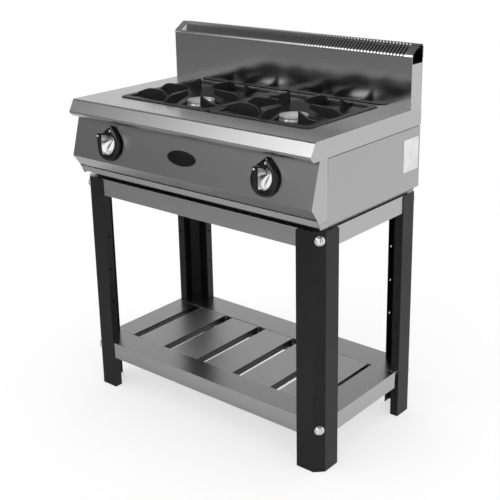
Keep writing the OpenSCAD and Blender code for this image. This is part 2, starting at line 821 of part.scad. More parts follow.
// The manifold runs behind both taps, then back to the inlet at the rear
module gas_manifold() color("#c9a23f") {
    y = manifold_at[0];
    z = manifold_at[1];
    end_y = rear_face + inlet_len;
    difference() {
        union() {
            pipe_run([[-knob_x - manifold_end, y, z], [supply_x, y, z], [supply_x, end_y, z]], pipe_r);
            translate([supply_x, end_y - inlet_free, z])
                rotate([90, 0, 0]) cylinder(r = back_nut_r, h = inlet_len - inlet_free - loose_gap);
        }
        translate([supply_x, end_y + overrun, z])
            rotate([90, 0, 0]) cylinder(r = pipe_bore_r, h = inlet_bore_len + overrun);
    }
}

module tap_body(side) color("#b9923f")
    on_panel(side * knob_x) difference() {
        union() {
            translate([0, 0, -tap_nose]) cylinder(r = nose_r, h = tap_nose - sheet_t);
            translate([-tap_w / 2, -tap_w / 2, -tap_depth - pipe_r / 2])
                cube([tap_w, tap_w, tap_depth + pipe_r / 2 - tap_nose]);
            translate([0, tap_w / 2, -outlet_in]) rotate([-90, 0, 0]) cylinder(r = outlet_r, h = outlet_h);
        }
        translate([0, 0, -plug_in - plug_len]) cylinder(r = plug_r + fit_gap, h = plug_len + loose_gap);
        translate([0, 0, -plug_in - overrun]) cylinder(r = stem_r + fit_gap, h = plug_in + 2 * overrun);
        translate([-tap_w, 0, -pipe_in]) rotate([0, 90, 0]) cylinder(r = pipe_r + fit_gap, h = 2 * tap_w);
    }

// Plan of a shaft with one flat
module flatted(r, flat) intersection() {
    circle(r);
    translate([-r, -r]) square([r + flat, 2 * r]);
}

module tap_plug(side) color("#a8853a")
    on_panel(side * knob_x) difference() {
        translate([0, 0, loose_gap - plug_in - plug_len]) cylinder(r = plug_r, h = plug_len - loose_gap);
        translate([0, 0, -stem_end - push_travel - overrun]) linear_extrude(stem_end)
            flatted(stem_r + fit_gap, stem_flat + fit_gap);
    }

module tap_stem(side) color("#c9c9c9")
    on_panel(side * knob_x) translate([0, 0, -stem_end])
        linear_extrude(stem_end + skirt_front + cheek_rim_h) flatted(stem_r, stem_flat);

module feed_tubes() color("#bfc0c2")
    for (s = [-1, 1]) {
        start = panel_place(tap_w / 2 + outlet_h, -outlet_in);
        pipe_run([
            [s * knob_x, start[0], start[1]], [s * knob_x, feed_at[0], feed_at[1]],
            [s * burner_x, feed_at[0], feed_at[1]], [s * burner_x, burner_y, feed_at[1]],
            [s * burner_x, burner_y, sleeve_z]
        ], feed_r);
    }

module thermocouples() color("#b08b5a")
    for (s = [-1, 1]) {
        x = s * (burner_x + probe_out);
        start = panel_place(tap_w / 2, -lead_in);
        pipe_run([
            [s * knob_x, start[0], start[1]], [s * knob_x, lead_at[0], lead_at[1]],
            [x, lead_at[0], lead_at[1]], [x, burner_y, lead_at[1]],
            [x, burner_y, shoulder_z - support_edge / 4]
        ], lead_r);
        translate([x, burner_y, shoulder_z - support_edge / 2]) cylinder(r = probe_r, h = chamber_h);
    }

// Teardrop plan: a disc and a small round tip, joined by their tangents
module teardrop(r, tip_r, reach) {
    a = asin((r - tip_r) / reach);
    circle(r, $fn = 96);
    translate([0, reach]) circle(tip_r);
    polygon([
        [r * cos(a), r * sin(a)], [tip_r * cos(a), reach + tip_r * sin(a)],
        [-tip_r * cos(a), reach + tip_r * sin(a)], [-r * cos(a), r * sin(a)]
    ]);
}

// Side view of the fin: depth along the panel, height out from it, with round front corners
module fin_plan() {
    translate([-fin_len / 2, skirt_front]) square([fin_len, fin_out - fin_r - skirt_front]);
    translate([fin_r - fin_len / 2, skirt_front]) square([fin_len - 2 * fin_r, fin_out - skirt_front]);
    for (s = [-1, 1]) translate([s * (fin_len / 2 - fin_r), fin_out - fin_r]) circle(fin_r);
}

module knob(side) color("#161617")
    on_panel(side * knob_x) difference() {
        union() {
            translate([0, 0, knob_gap]) linear_extrude(knob_skirt_t)
                teardrop(skirt_r, pointer_r, pointer_len - pointer_r);
            along_x(-fin_w / 2, fin_w / 2) fin_plan();
        }
        linear_extrude(skirt_front + cheek_rim_h + fit_gap) flatted(stem_r + fit_gap, stem_flat + fit_gap);
    }

// Two bright hollowed cheeks, one each side of the fin
module knob_cheeks(side) color("#dcdcdc")
    on_panel(side * knob_x) translate([0, 0, skirt_front]) difference() {
        steps = 10;
        rotate_extrude($fn = 72) polygon(concat(
            [[0, 0], [cheek_r, 0]],
            [for (i = [0 : steps]) [
                cheek_r * (1 - i / steps),
                cheek_rim_h + (cheek_h - cheek_rim_h) * pow(i / steps, 2)
            ]]
        ));
        translate([-fin_w / 2, -cheek_r - overrun, -overrun])
            cube([fin_w, 2 * (cheek_r + overrun), cheek_h + 2 * overrun]);
    }

// Side view of a side finger, as shares of its length from the tip and of its height
finger_top_shares = [[0, 0.94], [0.3, 0.89], [0.7, 0.83], [0.95, 0.35], [1, 0]];
finger_foot_shares = [[0.93, -0.46], [0.68, -0.82], [0.3, -0.17], [0, 0.22]];
// Side view of a corner wing, the same way
wing_top_shares = [[0, 1], [0.15, 0.76], [0.44, 0.32], [0.7, 0.12], [1, 0.08]];
wing_foot_shares = [[0.5, -0.4], [0, -0.72]];
// Side view of the front left wing, which ends in a rounded nose
nose_top_shares = [
    [0, -0.28], [0, 0.1], [0.05, 0.5], [0.13, 0.86], [0.23, 0.98], [0.4, 1],
    [0.54, 0.97], [0.75, 0.78], [0.9, 0.4], [1, 0.15]
];
nose_foot_shares = [[0.75, -0.4], [0.44, -0.68], [0.05, -1.12]];

module fin_side(tip, length, top_shares, foot_shares) {
    foot = grate_z - grate_top;
    along_x(0, finger_t) polygon(concat(
        [for (p = top_shares) [tip + length * p[0], finger_over * p[1]]],
        [[tip + length, foot]],
        [for (p = foot_shares) [tip + length * p[0], finger_over * p[1]]]
    ));
}

// One cast piece: frame, dish with its hole, four side fingers, three wings and the nosed wing
module grate(side) color("#232325")
    translate([side * grate_x, burner_y, grate_top]) {
        foot = grate_z - grate_top;
        grate_frame(foot);
        intersection() {
            translate([0, 0, foot - dish_fall]) linear_extrude(dish_fall - foot)
                rounded_rect(grate_w, grate_d, opening_r - grate_gap);
            rotate_extrude($fn = 96) polygon([
                [dish_hole_r, -dish_down - dish_fall - dish_t], [dish_hole_r, -dish_down - dish_fall],
                [dish_r, -dish_down], [grate_w, -dish_down],
                [grate_w, -dish_down - dish_t], [dish_r, -dish_down - dish_t]
            ]);
        }
        for (a = [0 : 90 : 270]) {
            half = (a % 180 == 0 ? grate_d : grate_w) / 2 - grate_frame_w / 2;
            rotate([0, 0, a]) translate([-finger_t / 2, 0, 0])
                fin_side(finger_tip_r, half - finger_tip_r, finger_top_shares, finger_foot_shares);
            aside = a % 180 == 0 ? wing_x : wing_y;
            tip = a % 180 == 0 ? wing_y : wing_x;
            if (a != 180) rotate([0, 0, a]) translate([aside - finger_t / 2, 0, 0])
                fin_side(tip, half - tip, wing_top_shares, wing_foot_shares);
        }
        rotate([0, 0, 90]) translate([-wing_y - finger_t / 2, 0, 0])
            fin_side(nose_tip, (grate_w - grate_frame_w) / 2 - nose_tip, nose_top_shares, nose_foot_shares);
    }

module grate_frame(foot) translate([0, 0, foot]) linear_extrude(-foot)
    difference() {
        rounded_rect(grate_w, grate_d, opening_r - grate_gap);
        rounded_rect(grate_w - 2 * grate_frame_w, grate_d - 2 * grate_frame_w, opening_r / 2);
    }

module drip_tray() color("#a6a7a9") {
    z = stand_h + tray_up;
    strip_top = under[1] - tray_seam;
    back_y = rear_face - sheet_t - tray_back_gap;
    pan_w = half_w - tray_pan_in;
    strip = [[foot_y(strip_top), strip_top], [foot_y(z), z]];
    along_x(-inner_w + tray_side_gap - sheet_t, inner_w - tray_side_gap + sheet_t)
        sheet(concat(strip, [[end_cap_d, z]]));
    along_x(-pan_w, pan_w) sheet(concat(strip, [[back_y, z], [back_y, z + tray_wall]]));
    for (right = [false, true]) flip_x(right)
        translate([-pan_w, end_cap_d, z]) cube([sheet_t, back_y - end_cap_d, tray_wall]);
}

module tray_runners() color("#8f9092")
    for (right = [false, true]) flip_x(right) {
        z = stand_h + sheet_t;
        x = -half_w + tray_pan_in - sheet_t;
        top = stand_h + tray_up - loose_gap;
        along_y(end_cap_d, rear_face - sheet_t)
            sheet([[x + runner_w, z], [x + runner_w, top], [x, top], [x, z]]);
    }

at_rest() {
    at_corner(false, false) leg();  // leg_front_left
    at_corner(true, false) leg();  // leg_front_right
    at_corner(false, true) leg();  // leg_rear_left
    at_corner(true, true) leg();  // leg_rear_right
    rail_across(false);  // rail_front
    rail_across(true);  // rail_rear
    rail_side(false);  // rail_left
    rail_side(true);  // rail_right
    rim_across(false);  // shelf_front
    rim_across(true);  // shelf_rear
    rim_side(false);  // shelf_left
    rim_side(true);  // shelf_right
    for (i = [0 : slat_count - 1])
        slat(i);
    slat_ledges();
    corner_brackets();
    leg_bolts();
    leg_nuts();
    base_panel();
    side_panel(false);  // side_panel_left
    side_panel(true);  // side_panel_right
    control_panel();
    rear_panel();
    worktop();
    grate_bar();
    riser_front();
    riser_back();
    riser_sides();
    vent_grille();
    badge_plate();
    burner_support();
    burner_body(-1);  // burner_body_left
    burner_body(1);  // burner_body_right
    burner_head(-1);  // burner_head_left
    burner_head(1);  // burner_head_right
    burner_cap(-1);  // burner_cap_left
    burner_cap(1);  // burner_cap_right
    injectors();
    gas_manifold();
    tap_body(-1);  // tap_body_left
    tap_body(1);  // tap_body_right
    tap_plug(-1);  // tap_plug_left
    tap_plug(1);  // tap_plug_right
    tap_stem(-1);  // tap_stem_left
    tap_stem(1);  // tap_stem_right
    feed_tubes();
    thermocouples();
    knob(-1);  // knob_left
    knob(1);  // knob_right
    knob_cheeks(-1);  // knob_cheeks_left
    knob_cheeks(1);  // knob_cheeks_right
    grate(-1);  // grate_left
    grate(1);  // grate_right
    drip_tray();
    tray_runners();
}
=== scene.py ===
import bpy
import bmesh
import math
from mathutils import Vector, Matrix


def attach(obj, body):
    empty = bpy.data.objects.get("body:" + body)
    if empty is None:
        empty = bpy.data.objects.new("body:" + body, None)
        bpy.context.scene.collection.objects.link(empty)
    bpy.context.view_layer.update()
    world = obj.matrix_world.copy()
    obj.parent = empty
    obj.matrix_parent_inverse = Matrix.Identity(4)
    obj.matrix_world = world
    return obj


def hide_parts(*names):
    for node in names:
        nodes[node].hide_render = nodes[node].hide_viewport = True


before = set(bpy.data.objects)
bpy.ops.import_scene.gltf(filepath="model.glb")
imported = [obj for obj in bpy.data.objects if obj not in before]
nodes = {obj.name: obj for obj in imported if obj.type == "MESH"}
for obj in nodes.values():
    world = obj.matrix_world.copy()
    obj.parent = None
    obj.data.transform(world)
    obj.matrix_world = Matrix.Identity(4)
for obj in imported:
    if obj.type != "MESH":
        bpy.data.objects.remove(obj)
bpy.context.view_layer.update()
print("frame loaded:", len(nodes), "nodes")

scene = bpy.context.scene
foldY = -0.196525  # the worktop's front fold in the row frame


def place(x, y, z):  # millimetres from the front fold, to metres in the row frame
    return Vector((x / 1000, y / 1000 + foldY, z / 1000))


cameraView = {  # solved from the casing's, stand's and shelf's corners
    "at": (1622.087, -1656.073, 1368.757),   # millimetres from the front fold
    "turn": 39.126,
    "down": 17.341,
    "roll": -0.738,
    "focal": 978.946,       # in pixels, as the next two
    "centre": (271.5, 193.2),
    "picture": 500,
    "sensor": 36.0,
    "reach": (0.05, 100.0),
}


def makeCamera(c):
    turn, down, roll = (math.radians(c[k]) for k in ("turn", "down", "roll"))
    ahead = Vector((-math.sin(turn) * math.cos(down), math.cos(turn) * math.cos(down), -math.sin(down)))
    right = ahead.cross(Vector((0, 0, 1))).normalized()
    up = right.cross(ahead)
    rightRolled = right * math.cos(roll) + up * math.sin(roll)
    upRolled = up * math.cos(roll) - right * math.sin(roll)
    data = bpy.data.cameras.new("camera")
    data.sensor_width = c["sensor"]
    data.lens = c["focal"] / c["picture"] * data.sensor_width
    data.shift_x = (c["picture"] / 2 - c["centre"][0]) / c["picture"]
    data.shift_y = (c["centre"][1] - c["picture"] / 2) / c["picture"]
    data.clip_start, data.clip_end = c["reach"]
    camera = bpy.data.objects.new("camera", data)
    scene.collection.objects.link(camera)
    turned = Matrix((rightRolled, upRolled, -ahead)).transposed().to_4x4()
    camera.matrix_world = Matrix.Translation(place(*c["at"])) @ turned
    scene.camera = camera


makeCamera(cameraView)
print("camera made")


# Shader building: a node, its settings and its sockets in one call.
def addNode(tree, kind, settings=None, sockets=None):
    node = tree.nodes.new(kind)
    for key, value in (settings or {}).items():
        setattr(node, key, value)
    for key, value in (sockets or {}).items():
        if hasattr(value, "links"):
            tree.links.new(value, node.inputs[key])
        else:
            node.inputs[key].default_value = value
    return node


def newMaterial(name, sockets):
    material = bpy.data.materials.new(name)
    material.use_nodes = True
    tree = material.node_tree
    shader = tree.nodes["Principled BSDF"]
    for key, value in sockets.items():
        shader.inputs[key].default_value = value
    return material, tree, shader


def objectPoint(tree):
    return addNode(tree, "ShaderNodeTexCoord").outputs["Object"]


def stretched(tree, point, scale):
    mapping = addNode(tree, "ShaderNodeMapping", None, {"Vector": point, "Scale": scale})
    return mapping.outputs["Vector"]


def noise(tree, point, scale, detail=3.0, rough=0.55):
    sockets = {"Vector": point, "Scale": scale, "Detail": detail, "Roughness": rough}
    return addNode(tree, "ShaderNodeTexNoise", None, sockets).outputs["Fac"]


def spread(tree, value, low, high, toLow, toHigh):
    sockets = {"Value": value, "From Min": low, "From Max": high, "To Min": toLow, "To Max": toHigh}
    return addNode(tree, "ShaderNodeMapRange", None, sockets).outputs["Result"]


def maths(tree, operation, a, b):
    return addNode(tree, "ShaderNodeMath", {"operation": operation}, {0: a, 1: b}).outputs[0]


def blendColour(tree, factor, a, b):
    node = addNode(tree, "ShaderNodeMix", {"data_type": "RGBA"}, {0: factor})
    for index, colour in ((6, a), (7, b)):
        if hasattr(colour, "links"):
            tree.links.new(colour, node.inputs[index])
        else:
            node.inputs[index].default_value = (*colour, 1)
    return node.outputs[2]


def bump(tree, shader, height, distance, strength=1.0):
    sockets = {"Height": height, "Distance": distance, "Strength": strength}
    node = addNode(tree, "ShaderNodeBump", None, sockets)
    tree.links.new(node.outputs["Normal"], shader.inputs["Normal"])
    return node


def tinted(colour, amount):
    return tuple(min(1.0, c * amount) for c in colour)


def grey(tone):
    return (tone,) * 3


# Edges under this mask are painted lighter: a painted highlight, and in the painted and cast finishes partly
# wear too.
def edgeMask(tree, width):  # 1 along outer edges, 0 on the flats
    bevel = addNode(tree, "ShaderNodeBevel", {"samples": 4}, {"Radius": width}).outputs["Normal"]
    normal = addNode(tree, "ShaderNodeNewGeometry").outputs["Normal"]
    dot = addNode(tree, "ShaderNodeVectorMath", {"operation": "DOT_PRODUCT"}, {0: bevel, 1: normal})
    return spread(tree, dot.outputs["Value"], 0.995, 0.9, 0.0, 1.0)


brushedFinish = {
    "lineLength": 2.5,      # streaks per metre along the grain
    "lineWidth": 700.0,     # streaks per metre across it
    "lineShare": 0.4,       # the streaks' part of the tone, smudges have the rest
    "lineDepth": 0.0000005,
    "smudgeSize": 6.0,
    "toneSpread": 0.012,
    "roughSpread": 0.004,
    "scratches": (0.70, 0.76),
    "scratchStretch": 0.35,
    "scratchShade": 0.008,
    "scratchTone": 1.5,
    # The outer edges of brushed steel are painted lighter: a painted highlight, as if the folds caught the
    # light.
    "edgeWidth": 0.0016,
    "edgeShare": 0.7,
    "edgeTone": 1.5,
    "squarely": 0.7,        # a face looks along an axis from this much of its normal on
}


# dark is painted shade, given as (axis, way, tone): the faces that look along that axis are painted darker,
# with way 0 for both ways
def brushedSteel(name, colour, roughness, dark=None, f=brushedFinish):
    material, tree, shader = newMaterial(name, {"Metallic": 1.0, "Specular IOR Level": 0.5})
    point = objectPoint(tree)
    along = stretched(tree, point, (f["lineLength"], f["lineWidth"], f["lineWidth"]))
    across = stretched(tree, point, (f["lineWidth"], f["lineLength"], f["lineWidth"]))
    normal = addNode(tree, "ShaderNodeNewGeometry").outputs["Normal"]
    looks = addNode(tree, "ShaderNodeSeparateXYZ", None, {0: normal}).outputs
    onSide = maths(tree, "GREATER_THAN", maths(tree, "ABSOLUTE", looks["X"], 0.0), f["squarely"])
    grain = addNode(tree, "ShaderNodeMix", {"data_type": "VECTOR"}, {0: onSide, 4: along, 5: across})
    grain = grain.outputs[1]
    lines = noise(tree, grain, 1.0, 3.0, 0.6)
    smudge = noise(tree, point, f["smudgeSize"], 4.0, 0.6)
    scratch = noise(tree, stretched(tree, grain, grey(f["scratchStretch"])), 1.0, 1.0, 0.4)
    scratch = spread(tree, scratch, *f["scratches"], 0.0, f["scratchShade"])
    mixed = maths(tree, "ADD", maths(tree, "MULTIPLY", lines, f["lineShare"]),
                  maths(tree, "MULTIPLY", smudge, 1 - f["lineShare"]))
    tone = blendColour(tree, spread(tree, mixed, 0.35, 0.65, 0.0, 1.0),
                       tinted(colour, 1 - f["toneSpread"]), tinted(colour, 1 + f["toneSpread"]))
    tone = blendColour(tree, scratch, tone, tinted(colour, f["scratchTone"]))
    # Painted highlight: a lighter tone along the outer edges.
    edge = maths(tree, "MULTIPLY", edgeMask(tree, f["edgeWidth"]), f["edgeShare"])
    tone = blendColour(tree, edge, tone, tinted(colour, f["edgeTone"]))
    # Painted shade: the faces that look along the axis get a darker tone.
    if dark:
        axis, way, paintedShadeTone = dark
        look = maths(tree, "MULTIPLY", looks[axis], way) if way else maths(tree, "ABSOLUTE", looks[axis], 0.0)
        shaded = maths(tree, "GREATER_THAN", look, f["squarely"])
        tone = blendColour(tree, shaded, tone, tinted(colour, paintedShadeTone))
    tree.links.new(tone, shader.inputs["Base Color"])
    rough = spread(tree, mixed, 0.35, 0.65, roughness - f["roughSpread"], roughness + f["roughSpread"])
    tree.links.new(rough, shader.inputs["Roughness"])
    bump(tree, shader, lines, f["lineDepth"], 0.5)
    return material


paintFinish = {
    "dustSize": 9.0,
    "dustTones": (0.85, 1.3),
    "edgeWidth": 0.0012,
    # The edges are painted lighter in patches: partly wear, partly a painted highlight.
    "edgeWearAndHighlight": (0.25, 1.0),
    "roughSpread": (-0.05, 0.08),
    "grainStrength": 0.7,
}


def painted(name, colour, roughness, edgeTone=2.2, grain=900.0, depth=0.00006, shine=0.5, f=paintFinish):
    material, tree, shader = newMaterial(name, {"Metallic": 0.0, "Specular IOR Level": shine})
    point = objectPoint(tree)
    fine = noise(tree, point, grain, 2.0, 0.6)
    dust = noise(tree, point, f["dustSize"], 5.0, 0.65)
    # Edges painted lighter in patches: partly wear, partly a painted highlight.
    wearAndHighlight = spread(tree, dust, 0.4, 0.6, *f["edgeWearAndHighlight"])
    edge = maths(tree, "MULTIPLY", edgeMask(tree, f["edgeWidth"]), wearAndHighlight)
    tone = blendColour(tree, spread(tree, dust, 0.35, 0.7, 0.0, 1.0),
                       *(tinted(colour, t) for t in f["dustTones"]))
    tone = blendColour(tree, edge, tone, tinted(colour, edgeTone))
    tree.links.new(tone, shader.inputs["Base Color"])
    rough = spread(tree, dust, 0.3, 0.7, *(roughness + r for r in f["roughSpread"]))
    tree.links.new(rough, shader.inputs["Roughness"])
    bump(tree, shader, fine, depth, f["grainStrength"])
    return material


polishFinish = {
    "hazeSize": 14.0,
    "hazeTones": (0.94, 1.04),
    "hazeRough": (0.8, 1.3),
    "grainSize": 250.0,
    "grainDepth": 0.00002,
    "grainStrength": 0.5,
}


def polishedMetal(name, colour, roughness, f=polishFinish):
    material, tree, shader = newMaterial(name, {"Metallic": 1.0})
    point = objectPoint(tree)
    fine = noise(tree, point, f["grainSize"], 3.0, 0.6)
    haze = noise(tree, point, f["hazeSize"], 4.0, 0.6)
    tone = blendColour(tree, spread(tree, haze, 0.3, 0.7, 0.0, 1.0),
                       *(tinted(colour, t) for t in f["hazeTones"]))
    tree.links.new(tone, shader.inputs["Base Color"])
    rough = spread(tree, haze, 0.3, 0.7, *(roughness * r for r in f["hazeRough"]))
    tree.links.new(rough, shader.inputs["Roughness"])
    bump(tree, shader, fine, f["grainDepth"], f["grainStrength"])
    return material


castFinish = {
    "pitTones": (0.75, 1.25),
    "waveSize": 60.0,
    "waveHeight": 1.6,      # against the pits' height
    "edgeWidth": 0.0016,
    # The edges are painted lighter in patches: partly wear, partly a painted highlight.
    "edgeWearAndHighlight": (0.4, 1.0),
    "roughSpread": (-0.06, 0.1),
    "pitStrength": 0.6,
}


def castMetal(name, colour, roughness, metallic, edgeTone, grain=420.0, depth=0.0003, shine=0.5,
              f=castFinish):
    material, tree, shader = newMaterial(name, {"Metallic": metallic, "Specular IOR Level": shine})
    point = objectPoint(tree)
    pits = noise(tree, point, grain, 4.0, 0.65)
    waves = noise(tree, point, f["waveSize"], 3.0, 0.5)
    # Edges painted lighter in patches: partly wear, partly a painted highlight.
    wearAndHighlight = spread(tree, waves, 0.4, 0.6, *f["edgeWearAndHighlight"])
    edge = maths(tree, "MULTIPLY", edgeMask(tree, f["edgeWidth"]), wearAndHighlight)
    tone = blendColour(tree, spread(tree, pits, 0.35, 0.65, 0.0, 1.0),
                       *(tinted(colour, t) for t in f["pitTones"]))
    tone = blendColour(tree, edge, tone, tinted(colour, edgeTone))
    tree.links.new(tone, shader.inputs["Base Color"])
    rough = spread(tree, pits, 0.3, 0.7, *(roughness + r for r in f["roughSpread"]))
    tree.links.new(rough, shader.inputs["Roughness"])
    height = maths(tree, "ADD", pits, maths(tree, "MULTIPLY", waves, f["waveHeight"]))
    bump(tree, shader, height, depth, f["pitStrength"])
    return material


finishes = {
    "black_leg": painted("blackLegPaint", (0.008, 0.008, 0.009), 0.38, shine=0.24),
    "stand_steel": brushedSteel("standSteel", grey(0.43), 0.30),
    "shelf_steel": brushedSteel("shelfSteel", grey(0.40), 0.26),
    "inner_steel": brushedSteel("innerSteel", (0.33, 0.33, 0.335), 0.5),
    "bolt_chrome": polishedMetal("boltChrome", (0.78, 0.78, 0.79), 0.1),
    "zinc_steel": polishedMetal("zincSteel", (0.5, 0.51, 0.52), 0.35),
    "casing_steel": brushedSteel("casingSteel", grey(0.45), 0.28),
    "worktop_steel": brushedSteel("worktopSteel", grey(0.46), 0.28),
    "riser_steel": brushedSteel("riserSteel", grey(0.48), 0.15),
    "badge_black": painted("badgeBlack", (0.005, 0.005, 0.006), 0.2, 3.0, 200.0, 0.00001, 0.3),
    "burner_cast": castMetal("burnerCast", (0.6, 0.6, 0.59), 0.4, 0.7, 1.2, 500.0, 0.0001),
    "burner_ring": castMetal("burnerRing", (0.8, 0.8, 0.79), 0.3, 0.8, 1.2, 600.0, 0.00005),
    "burner_cap": polishedMetal("burnerCap", grey(0.92), 0.4),
    "brass": polishedMetal("brassTurned", (0.62, 0.45, 0.18), 0.25),
    "gas_pipe": painted("gasPipePaint", (0.6, 0.4, 0.06), 0.4, 1.2),
    "tube_steel": polishedMetal("tubeSteel", (0.6, 0.61, 0.62), 0.25),
    "probe_copper": polishedMetal("probeCopper", (0.6, 0.36, 0.24), 0.3),
    "knob_black": painted("knobBlack", (0.004, 0.004, 0.0045), 0.15, 1.6, 500.0, 0.00001, 0.32),
    "knob_chrome": polishedMetal("knobChrome", (0.85, 0.85, 0.86), 0.06),
    "cast_iron": castMetal("castIron", (0.012, 0.012, 0.0125), 0.4, 0.0, 7.0, shine=0.42),
    "tray_steel": brushedSteel("traySteel", grey(0.44), 0.3),
}
# Finishes of single pieces, some with painted shade. Walls of slots and gaps are painted dark, where a
# sheet's edge catches no light, and the flue's back behind the slots is painted dark too.
grilleSteelPaintedShade = brushedSteel("grilleSteelPaintedShade", grey(0.8), 0.16, ("X", 0, 0.08))
flueSteelPaintedShade = brushedSteel("flueSteelPaintedShade", grey(0.45), 0.3, ("Y", -1, 0.1))
rimSteelPaintedShade = brushedSteel("rimSteelPaintedShade", grey(0.40), 0.26, ("X", 1, 0.15))
sideSteel = brushedSteel("sideSteel", grey(0.40), 0.3)
slatSteelPaintedShade = brushedSteel("slatSteelPaintedShade", grey(0.55), 0.42, ("X", 0, 0.12))
plateWhite = painted("labelPlate", grey(0.62), 0.42, 1.1, 300.0, 0.00001)
markWhite = painted("markWhite", (0.72, 0.72, 0.7), 0.4, 1.0, 600.0, 0.00001)

missing = []
for name, node in nodes.items():
    for s in node.material_slots:
        slotName = s.material.name.split(".")[0] if s.material else ""
        if slotName in finishes:
            s.material = finishes[slotName]
        else:
            missing.append((name, slotName))
print("finishes given; without one:", missing)


# Mesh building. Points are given in millimetres from the front fold.
def addPiece(name, form, finish, body, stands=(), smooth=35, material=None):
    mesh = bpy.data.meshes.new(name)
    mesh.from_pydata([place(*p) for p in form[0]], [], form[1])
    shape = bmesh.new()
    shape.from_mesh(mesh)
    bmesh.ops.remove_doubles(shape, verts=shape.verts, dist=1e-6)
    bmesh.ops.recalc_face_normals(shape, faces=shape.faces)
    shape.to_mesh(mesh)
    shape.free()
    mesh.polygons.foreach_set("use_smooth", [True] * len(mesh.polygons))
    mesh.set_sharp_from_angle(angle=math.radians(smooth))
    mesh.materials.append(material or finishes[finish])
    piece = bpy.data.objects.new(name, mesh)
    scene.collection.objects.link(piece)
    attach(piece, body)
    if stands:
        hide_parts(*stands)
    return piece


def roundEdges(piece, width, segments=2, angle=35):
    softer = piece.modifiers.new("roundedEdges", "BEVEL")
    softer.width = width / 1000
    softer.segments = segments
    softer.limit_method = "ANGLE"
    softer.angle_limit = math.radians(angle)
    softer.harden_normals = True


def joined(*forms):
    points, faces = [], []
    for p, f in forms:
        faces += [[i + len(points) for i in face] for face in f]
        points += list(p)
    return points, faces


def moved(form, turn):  # turn maps a point to a point
    return [turn(*p) for p in form[0]], form[1]


def loft(rings, around=False, capStart=False, capEnd=False):
    count = len(rings[0])
    points = [p for ring in rings for p in ring]
    faces = []
    for k in range(len(rings) if around else len(rings) - 1):
        a, b = k * count, (k + 1) % len(rings) * count
        faces += [[a + i, a + (i + 1) % count, b + (i + 1) % count, b + i] for i in range(count)]
    if capStart:
        faces.append(list(range(count)))
    if capEnd:
        faces.append(list(range((len(rings) - 1) * count, len(rings) * count)))
    return points, faces


def circle(radius, height, steps=96):
    turns = [2 * math.pi * i / steps for i in range(steps)]
    return [(radius * math.cos(t), radius * math.sin(t), height) for t in turns]


def lathe(profile, steps=96):  # profile of (radius, height)
    return loft([circle(max(r, 0.01), h, steps) for r, h in profile], capStart=True, capEnd=True)


def roundedRing(width, depth, radius, height, steps=8):
    ring = []
    for k, (sx, sy) in enumerate(((1, 1), (-1, 1), (-1, -1), (1, -1))):
        for i in range(steps + 1):
            t = math.pi / 2 * (k + i / steps)
            x = sx * (width / 2 - radius) + radius * math.cos(t)
            y = sy * (depth / 2 - radius) + radius * math.sin(t)
            ring.append((x, y, height))
    return ring


def slab(outline, wide):  # outline of (along, height); wide gives the half thickness at a height
    right = [(wide(h), a, h) for a, h in outline]
    left = [(-wide(h), a, h) for a, h in outline]
    return loft([right, left], capStart=True, capEnd=True)


def flowing(points, steps=5):  # a smooth line through (along, height) points
    line = []
    for k in range(len(points) - 1):
        a, b, c, d = (points[max(0, min(len(points) - 1, k + j))] for j in (-1, 0, 1, 2))
        for i in range(steps):
            t = i / steps
            line.append(tuple(
                0.5 * (2 * b[n] + (c[n] - a[n]) * t + (2 * a[n] - 5 * b[n] + 4 * c[n] - d[n]) * t ** 2
                       + (3 * b[n] - a[n] - 3 * c[n] + d[n]) * t ** 3) for n in (0, 1)))
    return line + [tuple(points[-1])]


def foldedLine(line, thick, bend, steps=5):  # the outer line and the inner one, with round folds
    path = [Vector(p) for p in line]
    outer, inner = [], []
    for k, p in enumerate(path):
        ahead = (path[k + 1] - p).normalized() if k < len(path) - 1 else (p - path[k - 1]).normalized()
        behind = (p - path[k - 1]).normalized() if k else ahead
        left = Vector((-behind.y, behind.x))
        turn = math.atan2(behind.x * ahead.y - behind.y * ahead.x, behind.dot(ahead))
        if abs(turn) < 0.01:
            outer.append(p)
            inner.append(p + left * thick)
            continue
        side = 1 if turn > 0 else -1
        radius = bend if side > 0 else bend - thick
        centre = p - behind * radius * math.tan(abs(turn) / 2) + left * radius * side
        arm = -left * radius * side
        for i in range(steps + 1):
            swing = Matrix.Rotation(turn * i / steps, 2) @ arm
            outer.append(centre + swing)
            inner.append(centre + swing * ((radius - thick * side) / radius))
    return outer, inner


def foldedSheet(line, thick, bend, run, turn):  # turn maps (run, across, up) to a point
    outer, inner = foldedLine(line, thick, bend)
    section = [tuple(p) for p in outer] + [tuple(p) for p in reversed(inner)]
    n = len(outer)
    points, faces = loft([[turn(s, u, v) for u, v in section] for s in run])
    for base in (0, n * 2 * (len(run) - 1)):
        faces += [[base + i, base + i + 1, base + 2 * n - 2 - i, base + 2 * n - 1 - i] for i in range(n - 1)]
    return points, faces


def gridSheet(outer, inner, run, holes):  # holes are (from x, to x, from y, to y)
    n = len(outer)
    points = [(x, p[0], p[1]) for line in (outer, inner) for x in run for p in line]
    deep = len(run) * n
    solid = set()
    for i in range(len(run) - 1):
        for j in range(n - 1):
            x, y = (run[i] + run[i + 1]) / 2, (outer[j][0] + outer[j + 1][0]) / 2
            if not any(a < x < b and c < y < d for a, b, c, d in holes):
                solid.add((i, j))
    faces = []
    for i, j in sorted(solid):
        a, b, c, d = i * n + j, (i + 1) * n + j, (i + 1) * n + j + 1, i * n + j + 1
        faces += [[a, b, c, d], [deep + a, deep + b, deep + c, deep + d]]
        for p, q, beside in ((a, b, (i, j - 1)), (b, c, (i + 1, j)), (c, d, (i, j + 1)), (d, a, (i - 1, j))):
            if beside not in solid:
                faces.append([p, q, deep + q, deep + p])
    return points, faces


def evenNormals(piece):
    even = piece.modifiers.new("evenNormals", "WEIGHTED_NORMAL")
    even.keep_sharp = True
    even.weight = 80


